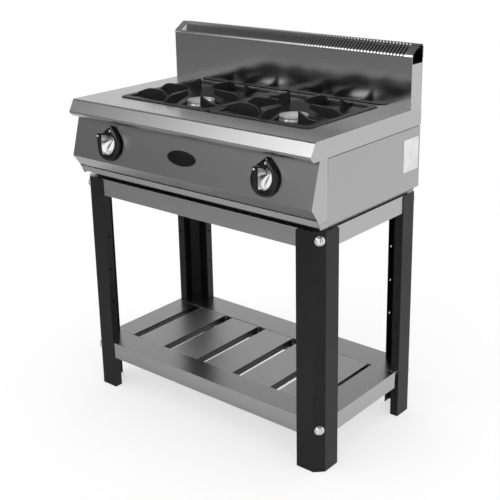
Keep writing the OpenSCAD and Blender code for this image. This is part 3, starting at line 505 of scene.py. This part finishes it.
sheetEdges = {
    "nodes": ("leg_front", "leg_rear", "rail", "shelf", "slat_", "riser", "control", "drip", "base", "rear"),
    "without": "slat_ledges",
    "weld": 0.00001,
    "flat": 0.5,
    "round": 0.65,
}


def roundSheets(e):  # the solids' facets become plain faces with soft edges
    for name, node in nodes.items():
        if name.startswith(e["nodes"]) and name != e["without"]:
            skin = node.modifiers.new("oneSkin", "WELD")
            skin.merge_threshold = e["weld"]
            flat = node.modifiers.new("plainFaces", "DECIMATE")
            flat.decimate_type = "DISSOLVE"
            flat.angle_limit = math.radians(e["flat"])
            roundEdges(node, e["round"])


roundSheets(sheetEdges)
# Pieces that get a finish with painted shade.
paintedShadeFinishes = {"riser_back": flueSteelPaintedShade, "shelf_left": rimSteelPaintedShade}
for name in ("slat_1", "slat_2", "slat_3", "slat_4", "slat_5"):
    paintedShadeFinishes[name] = slatSteelPaintedShade
for name, material in paintedShadeFinishes.items():
    nodes[name].material_slots[0].material = material
print("sheet edges rounded")


sidePanel = {
    "face": 398.8,      # leaves a step under the worktop's skirt
    "fold": 380.0,
    "front": 48.4,      # leaves a seam behind the end cap
    "rear": 445.4,
    "top": 793.4,
    "foot": 632.3,
    "bend": 2.4,
    "sheet": 1.5,
    "rearFlange": (2.0, 19.0),
    "flangeShort": 1.0,
    "toe": [(47.2, 632.3), (47.2, 647.2), (12.4, 647.2), (19.3, 632.3)],
    "toeThick": (-0.2, 0.8),
}


def makeSidePanel(side, flip, s):
    face, fold, thick = s["face"], s["fold"], s["sheet"]
    line = [(-fold, s["top"]), (-face, s["top"]), (-face, s["foot"]), (-fold, s["foot"])]
    shell = foldedSheet(line, thick, s["bend"], (s["front"], s["rear"]), lambda r, u, v: (-u * flip, r, v))
    toe = loft([[((face + out) * flip, y, z) for y, z in s["toe"]] for out in s["toeThick"]],
               capStart=True, capEnd=True)
    outer, inner = (face * flip - deep * flip for deep in s["rearFlange"])
    back = [(outer, s["rear"]), (inner, s["rear"]), (inner, s["rear"] - thick), (outer, s["rear"] - thick)]
    ends = (s["foot"] + s["flangeShort"], s["top"] - s["flangeShort"])
    flange = loft([[(a, b, z) for a, b in back] for z in ends], capStart=True, capEnd=True)
    panel = addPiece("sidePanel_" + side, joined(shell, toe, flange), "casing_steel", "range",
                     ["side_panel_" + side], material=sideSteel)
    roundEdges(panel, 0.4)
    evenNormals(panel)


makeSidePanel("left", -1, sidePanel)
makeSidePanel("right", 1, sidePanel)
print("side panels made")


worktopShape = {
    "half": 400.0,
    "sheet": 1.5,
    # across and up, from the rear skirt over the front fold and round the lip
    "line": [(446, 795), (446, 840), (436.25, 840), (404.25, 840), (389, 840), (369, 840), (104, 840),
             (84, 840), (0, 840), (-18, 806), (-7, 795), (29, 795)],
    "bend": 6.0,
    "flue": (-360.0, 360.0, 404.25, 436.25),
    "opening": (632.0, 301.0, 18.0),    # width, depth, corner radius
    "openingAt": 236.5,
    "openingBend": 2.0,
    "collar": 828.0,
    "ledge": 12.0,
    "cornerSteps": 8,
}


def makeWorktop(w):
    outer, inner = foldedLine(w["line"], w["sheet"], w["bend"], 8)
    wide, deep, corner = w["opening"]
    grow, top, thick = w["openingBend"], w["line"][1][1], w["sheet"]
    middle = w["openingAt"]
    hole = (-wide / 2 - grow, wide / 2 + grow, middle - deep / 2 - grow, middle + deep / 2 + grow)
    straight = wide / 2 - corner
    run = (-w["half"], w["flue"][0], hole[0], -straight, straight, hole[1], w["flue"][1], w["half"])
    sheet = gridSheet(outer, inner, run, (w["flue"], hole))

    def ring(more, z):
        radius = max(corner + more, 3)
        outline = roundedRing(wide + 2 * more, deep + 2 * more, radius, z, w["cornerSteps"])
        return [(p, middle + q, r) for p, q, r in outline]

    rings = []
    bendSteps = 5
    for i in range(bendSteps + 1):
        t = math.pi / 2 * i / bendSteps
        rings.append(ring(grow * (1 - math.sin(t)), top - grow * (1 - math.cos(t))))
    low, ledge = w["collar"], w["ledge"]
    rings += [ring(0, low + thick), ring(-ledge, low + thick), ring(-ledge, low), ring(-thick * 0.2, low),
              ring(thick, low + 1.4), ring(thick, top - thick - 0.6), ring(grow, top - thick)]
    collar = loft(rings)

    corners = []    # the sheet between the square hole and the opening's round corners
    count = w["cornerSteps"] + 1
    for z in (top, top - thick):
        outline = ring(grow, z)
        for k, (x, y) in enumerate(((1, 3), (0, 3), (0, 2), (1, 2))):
            arc = outline[k * count:(k + 1) * count]
            corners.append(([*arc, (hole[x], hole[y], z)], [list(range(count + 1))]))
    side = [tuple(p) for p in inner] + [(w["line"][-1][0], w["line"][0][1])]
    plates = []
    for flip in (-1, 1):
        plates.append(loft([[(x * flip, y, z) for y, z in side] for x in (w["half"] - thick, w["half"])],
                           capStart=True, capEnd=True))
    form = joined(sheet, collar, *corners, *plates)
    piece = addPiece("worktopTop", form, "worktop_steel", "range", ["worktop"], 40)
    roundEdges(piece, 0.45)
    evenNormals(piece)


makeWorktop(worktopShape)


grilleShape = {
    "half": 400.0,
    "sheet": 1.5,
    "rear": 446.0,
    "rearFoot": 964.0,
    "slope": (394.5, 977.0),    # the front fold
    "top": 1000.0,
    "topBend": 12.0,
    "slots": 78,
    "pitch": 9.7,
    "slotWide": 5.0,
    "slotFrom": 393.0,
    "slotTo": 445.5,
    "flange": 4.5,              # the riser's front plate turns in under the grille
    "flangeTop": 977.4,         # with both sheets' thickness above it
    "foot": 840.0,
    # the fold's bright band: back along the slope, down, forward, its middle's share and its end
    "brow": (3.6, 4.6, 1.2, 0.53, 0.9),
}


def makeGrille(g):
    rear, high, r = g["rear"], g["top"], g["topBend"]
    frontY, frontZ = g["slope"]
    away = Vector((rear - r - frontY, high - r - frontZ))
    tilt = math.atan2(away.y, away.x) + math.asin(r / away.length)
    bendSteps = 16
    arc = [(rear - r + r * math.cos(t), high - r + r * math.sin(t))
           for t in ((math.pi / 2 + tilt) * i / bendSteps for i in range(bendSteps + 1))]
    start, end = Vector(arc[-1]), Vector(g["slope"])
    back, down, forward, share, foot = g["brow"]
    fold = end + (start - end).normalized() * back
    front = frontY - forward
    outer = [(rear, g["rearFoot"]), *arc, tuple((start + fold) / 2), tuple(fold),
             (front + share * down, frontZ), (front, frontZ - down), (front, frontZ - down - foot)]
    inner = []
    for k, p in enumerate(outer):
        before, after = Vector(outer[max(k - 1, 0)]), Vector(outer[min(k + 1, len(outer) - 1)])
        ahead = (after - before).normalized()
        inner.append((p[0] - ahead.y * g["sheet"], p[1] + ahead.x * g["sheet"]))
    run = [-g["half"]]
    holes = []
    for i in range(g["slots"]):
        middle = (i - (g["slots"] - 1) / 2) * g["pitch"]
        slot = (middle - g["slotWide"] / 2, middle + g["slotWide"] / 2)
        run += slot
        holes.append((*slot, g["slotFrom"], g["slotTo"]))
    run.append(g["half"])
    grille = addPiece("ventGrille", gridSheet(outer, inner, run, holes), "riser_steel", "range",
                      ["vent_grille"], 30, grilleSteelPaintedShade)
    roundEdges(grille, 0.4)
    evenNormals(grille)

    low = g["flangeTop"] - g["sheet"] / math.cos(tilt) - g["sheet"]
    line = [(frontY + g["flange"], low + g["flange"] * math.tan(tilt)), (frontY, low), (frontY, g["foot"])]
    plate = foldedSheet(line, g["sheet"], 2.0, (-g["half"], g["half"]), lambda x, y, z: (x, y, z))
    plate = addPiece("riserFront", plate, "riser_steel", "range", ["riser_front"])
    roundEdges(plate, 0.3)
    evenNormals(plate)


makeGrille(grilleShape)
print("worktop and grille made")


knobShape = {
    "place": 260.5,
    "tilt": 15.524,
    "origin": (-1.129, 733.335),
    "skirt": 41.0,
    "tip": 52.0,
    "tipRound": 6.5,
    # inset and height out of the panel, from the panel's side to the front
    "dome": [(6, 4.6), (0.9, 4.6), (0.2, 5.1), (0, 6.0), (0.15, 7.2), (1.1, 8.9), (3.4, 10.6), (7.5, 12.0),
             (12, 12.7), (15, 12.8)],
    "insets": (1.6, 0.3),       # of the tip and its round, against the skirt's
    # place up the panel, height and half width of the grip
    "grip": [(-30.6, 29.5, 2.6), (-29.8, 32.4, 3.9), (-27.5, 34.6, 4.6), (-15, 40.0, 5.4), (0, 45.6, 6.2),
             (12, 49.2, 6.8), (21, 51.3, 7.2), (25.5, 51.8, 7.2), (27.8, 50.6, 6.4), (28.8, 47.6, 4.4)],
    "gripFoot": 11.5,
    "gripFlare": [(1.4, 0.0), (0.2, 2.5)],
    "scoop": 26.0,
    "scoopSwing": 88,
    "scoopFront": 7.0,          # how far the scoops end behind the grip's front
    "scoopBend": 1.9,
    "scoopFloor": 13.1,
    "scoopIn": (1.2, 0.15),     # from its edge and from the grip
    "scoopRim": [(1.02, 13.7), (1.045, 13.7), (1.055, 12.4)],
    # white marks: half width, half height, place up the panel, height out, domed profile and steps
    "marks": [(2.3, 3.6, 36.0, 12.35, [(1, 0), (0.9, 0.35), (0.01, 0.5)], 24),
              (1.3, 1.3, 45.5, 10.75, [(1, 0), (0.8, 0.3), (0.01, 0.4)], 16)],
    # the grip's own: half width, place, depth in the grip, profile and steps
    "gripMark": (2.7, 21.0, 0.1, [(1, -0.9), (0.85, 0.05), (0.5, 0.4), (0.01, 0.5)], 20),
}


def onPanel(x, tilt, origin):
    t = math.radians(tilt)
    return lambda a, b, c: (x + a, origin[0] + math.sin(t) * b - math.cos(t) * c,
                            origin[1] + math.cos(t) * b + math.sin(t) * c)


def teardrop(radius, tip, tipRound, height, steps=48, tipSteps=12):
    reach = tip - tipRound
    lean = math.acos((radius - tipRound) / reach)
    ring = []
    for i in range(steps + 1):
        t = math.pi / 2 - lean - (2 * math.pi - 2 * lean) * i / steps
        ring.append((radius * math.cos(t), radius * math.sin(t), height))
    for i in range(tipSteps + 1):
        t = math.pi / 2 + lean - 2 * lean * i / tipSteps
        ring.append((tipRound * math.cos(t), reach + tipRound * math.sin(t), height))
    return ring


def gripSection(k, b, height, wide, steps=8):
    flare = [(wide + more, k["gripFoot"] + up) for more, up in k["gripFlare"]]
    side = [(-a, b, c) for a, c in flare]
    for i in range(steps + 1):
        t = math.pi - math.pi * i / steps
        side.append((wide * math.cos(t), b, height - wide + wide * math.sin(t)))
    return side + [(a, b, c) for a, c in reversed(flare)]


def gripAt(k, b):  # height and half width of the grip there
    grip = k["grip"]
    for (b0, h0, w0), (b1, h1, w1) in zip(grip, grip[1:]):
        if b <= b1:
            t = max(0, (b - b0) / (b1 - b0))
            return h0 + (h1 - h0) * t, w0 + (w1 - w0) * t
    return grip[-1][1:]


def scoopForm(k, side, steps=12, upSteps=32):  # from the grip's edge down and out to the round rim
    edge, gap = k["scoopIn"]
    floor = k["scoopFloor"]
    rings = []
    for i in range(steps + 1):
        t = i / steps
        ring = []
        for j in range(upSteps + 1):
            swing = math.radians(k["scoopSwing"] * (2 * j / upSteps - 1))
            frontUp = (k["scoop"] - edge) * math.sin(swing)
            height, wide = gripAt(k, frontUp)
            near = wide + gap
            across = near + (max(k["scoop"] * math.cos(swing), near) - near) * t
            up = frontUp + (k["scoop"] * math.sin(swing) - frontUp) * t
            out = floor + (height - k["scoopFront"] - floor) * (1 - t) ** k["scoopBend"]
            ring.append((across * side, up, out))
        rings.append(ring)
    for grow, out in k["scoopRim"]:
        rings.append([(a * grow, b * grow, out) for a, b, c in rings[steps]])
    count = upSteps + 1
    points = [p for ring in rings for p in ring]
    faces = [[r * count + j, r * count + j + 1, (r + 1) * count + j + 1, (r + 1) * count + j]
             for r in range(len(rings) - 1) for j in range(upSteps)]
    return points, faces


def domedMark(wide, tall, up, out, profile, steps):
    return moved(lathe(profile, steps), lambda a, b, c: (a * wide, up + b * tall, out + c))


def makeKnob(side, flip, k):
    turn = onPanel(k["place"] * flip, k["tilt"], k["origin"])
    tipInset, roundInset = k["insets"]
    rings = [teardrop(k["skirt"] - d, k["tip"] - tipInset * d, k["tipRound"] - roundInset * d, c)
             for d, c in k["dome"]]
    skirt = loft(rings, capStart=True, capEnd=True)
    grip = loft([gripSection(k, *g) for g in k["grip"]], capStart=True, capEnd=True)
    body = "knob_" + side
    addPiece("knobBody_" + side, moved(joined(skirt, grip), turn), "knob_black", body, ["knob_" + side], 40)
    scoops = joined(scoopForm(k, 1), scoopForm(k, -1))
    addPiece("knobScoops_" + side, moved(scoops, turn), "knob_chrome", body, ["knob_cheeks_" + side], 50)
    marks = [domedMark(*mark) for mark in k["marks"]]
    wide, up, depth, profile, steps = k["gripMark"]
    marks.append(domedMark(wide, wide, up, gripAt(k, up)[0] - depth, profile, steps))
    addPiece("knobMarks_" + side, moved(joined(*marks), turn), "knob_black", body, material=markWhite)


for side, flip in (("left", -1), ("right", 1)):
    makeKnob(side, flip, knobShape)
print("knobs made")


burnerShape = {
    "place": (158.0, 236.5),
    "cap": [(21.4, 818), (21.4, 822), (37.3, 822), (37.75, 822.3), (37.8, 822.8), (37.0, 825.9),
            (36.8, 826.6), (36.3, 827), (34.6, 827), (33.9, 826.3), (32.4, 826.3), (31.2, 826.9),
            (20, 827.2), (0, 827.3)],
    "slots": 48,
    "slotDeep": 2.3,
    "slotShares": [(0.0, False), (0.28, False), (0.56, False), (0.6, True), (0.78, True), (0.96, True)],
    # radius, height and whether the slots cut it
    "ring": [(21.6, 811.8, False), (24, 811.8, False), (24, 815.7, False), (37.0, 815.7, False),
             (37.4, 816.0, False), (37.1, 816.9, False), (37.0, 817.1, True), (35.6, 821.3, True),
             (35.3, 821.7, True), (30, 821.7, False), (21.6, 821.7, False)],
}


def slottedRing(b, radius, height, cut):
    ring = []
    for i in range(b["slots"]):
        for share, low in b["slotShares"]:
            t = 2 * math.pi * (i + share) / b["slots"]
            r = radius - (b["slotDeep"] if cut and low else 0)
            ring.append((r * math.cos(t), r * math.sin(t), height))
    return ring


def onWorktop(at, flip):
    return lambda p, q, r: (at[0] * flip + p, at[1] + q, r)


def makeBurner(side, flip, b):
    turn = onWorktop(b["place"], flip)
    cap = "burner_cap_" + side
    addPiece("burnerCap_" + side, moved(lathe(b["cap"]), turn), "burner_cap", cap, [cap])
    head = "burner_head_" + side
    ring = loft([slottedRing(b, *point) for point in b["ring"]], around=True)
    addPiece("flameRing_" + side, moved(ring, turn), "burner_ring", head, [head])


for side, flip in (("left", -1), ("right", 1)):
    makeBurner(side, flip, burnerShape)
print("burners made")


grateShape = {
    "place": (158.0, 236.5),
    "size": (314.0, 299.0),
    "bar": 19.0,
    "corner": 17.0,
    "foot": 829.8,
    # inset and height round the frame's bar
    "frame": [(0.6, 829.8), (0, 830.4), (0, 841.4), (0.5, 842.5), (1.7, 843.0), (16.8, 843.0), (18.1, 842.5),
              (19.0, 841.2), (19.4, 830.3), (18.5, 829.8)],
    "dishHole": 52.0,
    "dishStart": 142.0,
    "dishHigh": 838.0,
    "dishLow": 812.0,
    "dishThick": 4.0,
    "dishBend": 30.0,
    "dishOver": 2.0,        # how far it reaches under the frame
    "dishReach": 183.0,     # at most, in the corners
    "dishLip": (0.993, 0.8),
    "finTop": 861.0,
    "finThick": (3.1, 0.045),   # half of it at the top, and how it grows down
    "fingerTip": 51.0,
    "wing": (82.0, 87.0),
    "nose": 40.0,
    # side views: share of the fin's length and height
    "finger": [(0, 847.4), (0, 857.5), (0.03, 859.6), (0.12, 859.9), (0.35, 859.1), (0.62, 858.6),
               (0.74, 857.2), (0.84, 853.5), (0.93, 847.8), (1, 843.6)],
    "fingerFoot": [(0.93, 834.8), (0.7, 828.6), (0.5, 833.5), (0.28, 840.2), (0.1, 844.6)],
    "wingTop": [(0, 830.2), (0, 859.6), (0.02, 861), (0.08, 859.5), (0.2, 855.0), (0.36, 850.4),
                (0.55, 847.0), (0.78, 845.0), (1, 844.2)],
    "wingFoot": [(0.5, 836.2)],
    "noseTop": [(0.05, 823.0), (0.02, 830), (0, 838), (0.005, 844.5), (0.04, 851.5), (0.1, 856.8),
                (0.18, 859.8), (0.3, 861), (0.42, 861), (0.55, 860.2), (0.68, 857.8), (0.8, 853.4),
                (0.9, 849.0), (1, 845.8)],
    "noseFoot": [(0.75, 836.0), (0.44, 831.0)],
}


def makeFin(g, topLine, footLine, tip, length):
    half, grow = g["finThick"]
    upper = flowing([(tip + length * s, h) for s, h in topLine], 4)
    lower = [(tip + length * s, h) for s, h in footLine]
    outline = upper + [(tip + length, g["foot"] + 1)] + lower
    return slab(outline, lambda h: half + (g["finTop"] - h) * grow)


def quarterTurned(form, quarters, aside):
    co, si = ((1, 0), (0, 1), (-1, 0), (0, -1))[quarters]
    return moved(form, lambda p, q, r: ((p + aside) * co - q * si, (p + aside) * si + q * co, r))


def dishForm(g, steps=96, outSteps=14):  # falls to its hole in the middle, from under the frame
    wide, deep = (size / 2 - g["bar"] + g["dishOver"] for size in g["size"])
    fall = (g["dishHigh"] - g["dishLow"]) / (g["dishStart"] - g["dishHole"])
    spokes = []
    for i in range(steps):
        t = 2 * math.pi * i / steps
        co, si = math.cos(t), math.sin(t)
        spokes.append((co, si, min(wide / max(abs(co), 1e-6), deep / max(abs(si), 1e-6), g["dishReach"])))
    upper = []
    for k in range(outSteps + 1):
        ring = []
        for co, si, edge in spokes:
            r = g["dishHole"] + (edge - g["dishHole"]) * k / outSteps
            past = r - g["dishStart"]
            drop = fall * (math.sqrt(past * past + g["dishBend"]) - past) / 2
            ring.append((r * co, r * si, g["dishHigh"] - drop))
        upper.append(ring)
    share, under = g["dishLip"]
    lip = [[(a * share, b * share, z - d) for a, b, z in upper[0]] for d in (g["dishThick"], under)]
    lower = [[(a, b, z - g["dishThick"]) for a, b, z in ring] for ring in reversed(upper)]
    return loft([*lip, *upper, *lower], around=True)


def makeGrate(side, flip, g):
    turn = onWorktop(g["place"], flip)
    wide, deep = g["size"]
    forms = [loft([roundedRing(wide - 2 * inset, deep - 2 * inset, max(g["corner"] - inset * 0.5, 4), z)
                   for inset, z in g["frame"]], around=True)]
    halves = (deep / 2 - g["bar"] / 2, wide / 2 - g["bar"] / 2)
    for quarter in range(4):
        half = halves[quarter % 2]
        tip = g["fingerTip"]
        forms.append(quarterTurned(makeFin(g, g["finger"], g["fingerFoot"], tip, half - tip), quarter, 0))
        aside, tip = g["wing"] if quarter % 2 == 0 else reversed(g["wing"])
        if quarter != 2:    # the nosed wing is there
            wing = makeFin(g, g["wingTop"], g["wingFoot"], tip, half - tip)
            forms.append(quarterTurned(wing, quarter, aside))
    nosed = makeFin(g, g["noseTop"], g["noseFoot"], g["nose"], halves[1] - g["nose"])
    forms.append(quarterTurned(nosed, 1, -g["wing"][1]))
    body = "grate_" + side
    casting = addPiece("panSupport_" + side, moved(joined(*forms), turn), "cast_iron", body, [body])
    roundEdges(casting, 1.5, 3, 50)
    addPiece("panDish_" + side, moved(dishForm(g), turn), "cast_iron", body, [body], 50)


for side, flip in (("left", -1), ("right", 1)):
    makeGrate(side, flip, grateShape)
print("pan supports made")


boltShape = {
    # radius and height along the bolt, inwards from the leg's face
    "head": [(0, -6.1), (2.5, -6.0), (5, -5.6), (7.4, -4.8), (9.3, -3.6), (10.6, -2.1), (11, -1.3),
             (12, -1.1), (12.1, -0.6), (12, -0.05), (4, -0.05), (4, 15.6), (3.4, 16), (0, 16)],
    "across": (389.5, 30.5, 434.0),   # outward, front and rear places of the heads
    "heights": (602.0, 115.0),
}


def screwedIn(at, ahead):  # maps a bolt's side, up and along to its place
    side = Vector((0, 0, 1)).cross(ahead)
    return lambda p, q, r: (at[0] + ahead.x * r + side.x * p, at[1] + ahead.y * r + side.y * p, at[2] + q)


def makeBolts(b):
    form = lathe(b["head"], 48)
    heads = []
    outX, frontY, rearY = b["across"]
    for x in (-1, 1):
        for y, inward in ((frontY, 1), (rearY, -1)):
            ahead = Vector((-x, inward, 0)).normalized()
            heads += [moved(form, screwedIn((x * outX, y, z), ahead)) for z in b["heights"]]
    addPiece("legBolts", joined(*heads), "bolt_chrome", "range", ["leg_bolts"], 30)


makeBolts(boltShape)


badgeShape = {
    "at": (-8.0, 5.0),
    "size": (48.0, 19.0),   # half width and half height
    # share of the size and height out of the panel
    "rings": [(1.0, 0.02), (1.0, 0.9), (0.985, 1.25), (0.94, 1.35), (0.925, 1.1), (0.89, 1.05), (0.8, 1.25),
              (0.6, 1.45), (0.3, 1.55), (0.02, 1.58)],
}


def makeBadge(b):
    x, up = b["at"]
    wide, tall = b["size"]
    turn = onPanel(x, knobShape["tilt"], knobShape["origin"])
    rings = [[(p * wide, up + q * tall, out) for p, q, z in circle(share, 0)] for share, out in b["rings"]]
    oval = loft(rings, capStart=True, capEnd=True)
    addPiece("badgeOval", moved(oval, turn), "badge_black", "range", ["badge_plate"])


makeBadge(badgeShape)


labelShape = {
    "face": 399.0,
    "front": 368.0,
    "rear": 438.0,
    "foot": 684.0,
    "top": 768.0,
    "corner": 3.0,
    # inset and height off the panel, with a fine line round the edge
    "rings": [(0, -0.1), (0, 0.35), (0.25, 0.5), (3.2, 0.5), (3.5, 0.38), (3.8, 0.5)],
}


def makeLabel(s):
    wide, tall = s["rear"] - s["front"], s["top"] - s["foot"]
    middle = ((s["front"] + s["rear"]) / 2, (s["foot"] + s["top"]) / 2)
    rings = []
    for inset, out in s["rings"]:
        ring = roundedRing(wide - 2 * inset, tall - 2 * inset, s["corner"], 0, 6)
        rings.append([(s["face"] + out, middle[0] + p, middle[1] + q) for p, q, z in ring])
    plate = loft(rings, capStart=True, capEnd=True)
    addPiece("labelPlate", plate, "casing_steel", "range", material=plateWhite)


makeLabel(labelShape)
print("small pieces made")


studio = {
    "floorTone": 0.985,
    "floorGrain": 0.005,
    "floorShows": 0.38,    # the white around the object shines through the rest
    "floorFade": (1.3, 3.2),    # metres from the middle
    "skyForObject": 1.0,   # what the surroundings give to matt surfaces
    "ceiling": 0.16,       # what reflections show overhead
    "ceilingRise": (34, 44),
    # the front left quarter: a dark flag for the panel, and above it a glow for the worktop's lip
    "frontTurn": (-105, -90, -28, -20),
    "frontTone": 0.17,
    "frontLow": 0.24,      # below the horizon
    "horizon": (-6, 3),
    "glowTurn": (-53.5, -41),
    "glowTone": (0.06, 3.4),
    "glowBend": 1.5,
    "glowRise": (17, 22, 36, 42),
    # the back left quarter is darker high up, for the shelf
    "backTurn": (-178, -168, -118, -105),
    "backRise": (16, 29),
    "backTone": 0.5,
    # dark uprights at the right, seen in the bright metal
    "frames": ((49, 55, 61, 67), (79, 85, 97, 103)),
    "frameTone": 0.08,
}


def plainFace(name, corners):
    mesh = bpy.data.meshes.new(name)
    mesh.from_pydata(corners, [], [(0, 1, 2, 3)])
    face = bpy.data.objects.new(name, mesh)
    scene.collection.objects.link(face)
    return face


def fromMiddle(tree, point):
    return addNode(tree, "ShaderNodeVectorMath", {"operation": "LENGTH"}, {0: point}).outputs["Value"]


def makeFloor(s):
    half = s["floorFade"][1] + 0.5
    floor = plainFace("floor", [(-half, -half, 0), (half, -half, 0), (half, half, 0), (-half, half, 0)])
    material, tree, shader = newMaterial("floorPale", {"Roughness": 0.9, "Specular IOR Level": 0.0})
    point = objectPoint(tree)
    grain = noise(tree, point, 30.0, 3.0, 0.5)
    tones = (grey(s["floorTone"] + way * s["floorGrain"]) for way in (-1, 1))
    tone = blendColour(tree, grain, *tones)
    tree.links.new(tone, shader.inputs["Base Color"])
    alpha = spread(tree, fromMiddle(tree, point), *s["floorFade"], s["floorShows"], 0.0)
    tree.links.new(alpha, shader.inputs["Alpha"])
    floor.data.materials.append(material)


def between(tree, value, start, full, fullEnd, end):  # 1 from full to fullEnd, 0 outside start and end
    rising = spread(tree, value, start, full, 0.0, 1.0)
    return maths(tree, "MULTIPLY", rising, spread(tree, value, fullEnd, end, 1.0, 0.0))


def makeWorld(s):  # reflections see a studio that depends on the turn and rise of their direction
    world = bpy.data.worlds.new("studio")
    scene.world = world
    world.use_nodes = True
    tree = world.node_tree
    background = tree.nodes["Background"]
    background.inputs["Color"].default_value = (1, 1, 1, 1)
    direction = addNode(tree, "ShaderNodeTexCoord").outputs["Generated"]
    parts = addNode(tree, "ShaderNodeSeparateXYZ", None, {0: direction}).outputs
    turn = maths(tree, "ARCTAN2", parts["X"], maths(tree, "MULTIPLY", parts["Y"], -1.0))
    turn = maths(tree, "DEGREES", turn, 0.0)
    rise = maths(tree, "DEGREES", maths(tree, "ARCSINE", parts["Z"], 0.0), 0.0)
    shade = spread(tree, rise, *s["ceilingRise"], 1.0, s["ceiling"])
    high = spread(tree, rise, *s["backRise"], 0.0, 1.0)
    back = maths(tree, "MULTIPLY", between(tree, turn, *s["backTurn"]), high)
    shade = blendColour(tree, back, shade, maths(tree, "MULTIPLY", shade, s["backTone"]))
    for frameTurn in s["frames"]:
        shade = blendColour(tree, between(tree, turn, *frameTurn), shade, grey(s["frameTone"]))
    front = between(tree, turn, *s["frontTurn"])
    low = maths(tree, "MULTIPLY", front, spread(tree, rise, *s["glowRise"][:2], 1.0, 0.0))
    shade = blendColour(tree, low, shade, spread(tree, rise, *s["horizon"], s["frontLow"], s["frontTone"]))
    glow = maths(tree, "POWER", spread(tree, turn, *s["glowTurn"], 0.0, 1.0), s["glowBend"])
    glowing = maths(tree, "MULTIPLY", front, between(tree, rise, *s["glowRise"]))
    shade = blendColour(tree, glowing, shade, spread(tree, glow, 0.0, 1.0, *s["glowTone"]))
    path = addNode(tree, "ShaderNodeLightPath")
    matt = maths(tree, "MULTIPLY", path.outputs["Is Diffuse Ray"], s["skyForObject"])
    shiny = maths(tree, "MULTIPLY", path.outputs["Is Glossy Ray"], shade)
    seen = maths(tree, "MAXIMUM", path.outputs["Is Camera Ray"], path.outputs["Is Transmission Ray"])
    strength = maths(tree, "MAXIMUM", maths(tree, "MAXIMUM", matt, shiny), seen)
    tree.links.new(strength, background.inputs["Strength"])


lamps = {   # place, aim, size and power
    "keyLamp": ((-1.2, -2.4, 3.0), (0, 0, 0.6), (1.6, 1.2), 16),
    "rightLamp": ((2.6, 0.6, 2.4), (0, 0, 0.5), (1.6, 1.6), 10),
}


def makeLamp(name, at, aim, size, power):  # reflections don't show it
    data = bpy.data.lights.new(name, "AREA")
    data.shape = "RECTANGLE"
    data.size, data.size_y = size
    data.energy = power
    lamp = bpy.data.objects.new(name, data)
    scene.collection.objects.link(lamp)
    lamp.location = at
    lamp.rotation_euler = (Vector(aim) - Vector(at)).to_track_quat("-Z", "Y").to_euler()
    lamp.visible_glossy = False


floorFlag = {
    "left": -3.6,
    "right": 0.5,
    "front": -3.6,
    "rear": -0.3,
    "up": 0.004,
    "tone": 0.72,
    "toneSpread": 0.07,
    "farTone": 0.33,
    "fade": (0.4, 2.5),
}


def makeFloorFlag(s):  # a grey floor in front that only reflections show
    left, right, front, rear, up = (s[k] for k in ("left", "right", "front", "rear", "up"))
    corners = [(left, front, up), (right, front, up), (right, rear, up), (left, rear, up)]
    flag = plainFace("floorFlag", corners)
    material, tree, shader = newMaterial("floorFlag", {"Base Color": (0, 0, 0, 1), "Specular IOR Level": 0.0,
                                                       "Emission Color": (1, 1, 1, 1)})
    point = objectPoint(tree)
    soft = noise(tree, point, 1.5, 1.0, 0.5)
    shade = spread(tree, soft, 0.3, 0.7, s["tone"] * (1 - s["toneSpread"]), s["tone"] * (1 + s["toneSpread"]))
    far = spread(tree, fromMiddle(tree, point), *s["fade"], 1.0, s["farTone"] / s["tone"])
    tree.links.new(maths(tree, "MULTIPLY", shade, far), shader.inputs["Emission Strength"])
    flag.data.materials.append(material)
    flag.visible_camera = False
    flag.visible_diffuse = False
    flag.visible_shadow = False
    flag.visible_transmission = False


makeFloor(studio)
makeWorld(studio)
for name, lamp in lamps.items():
    makeLamp(name, *lamp)
makeFloorFlag(floorFlag)
print("studio made")

scene.view_settings.view_transform = "Standard"
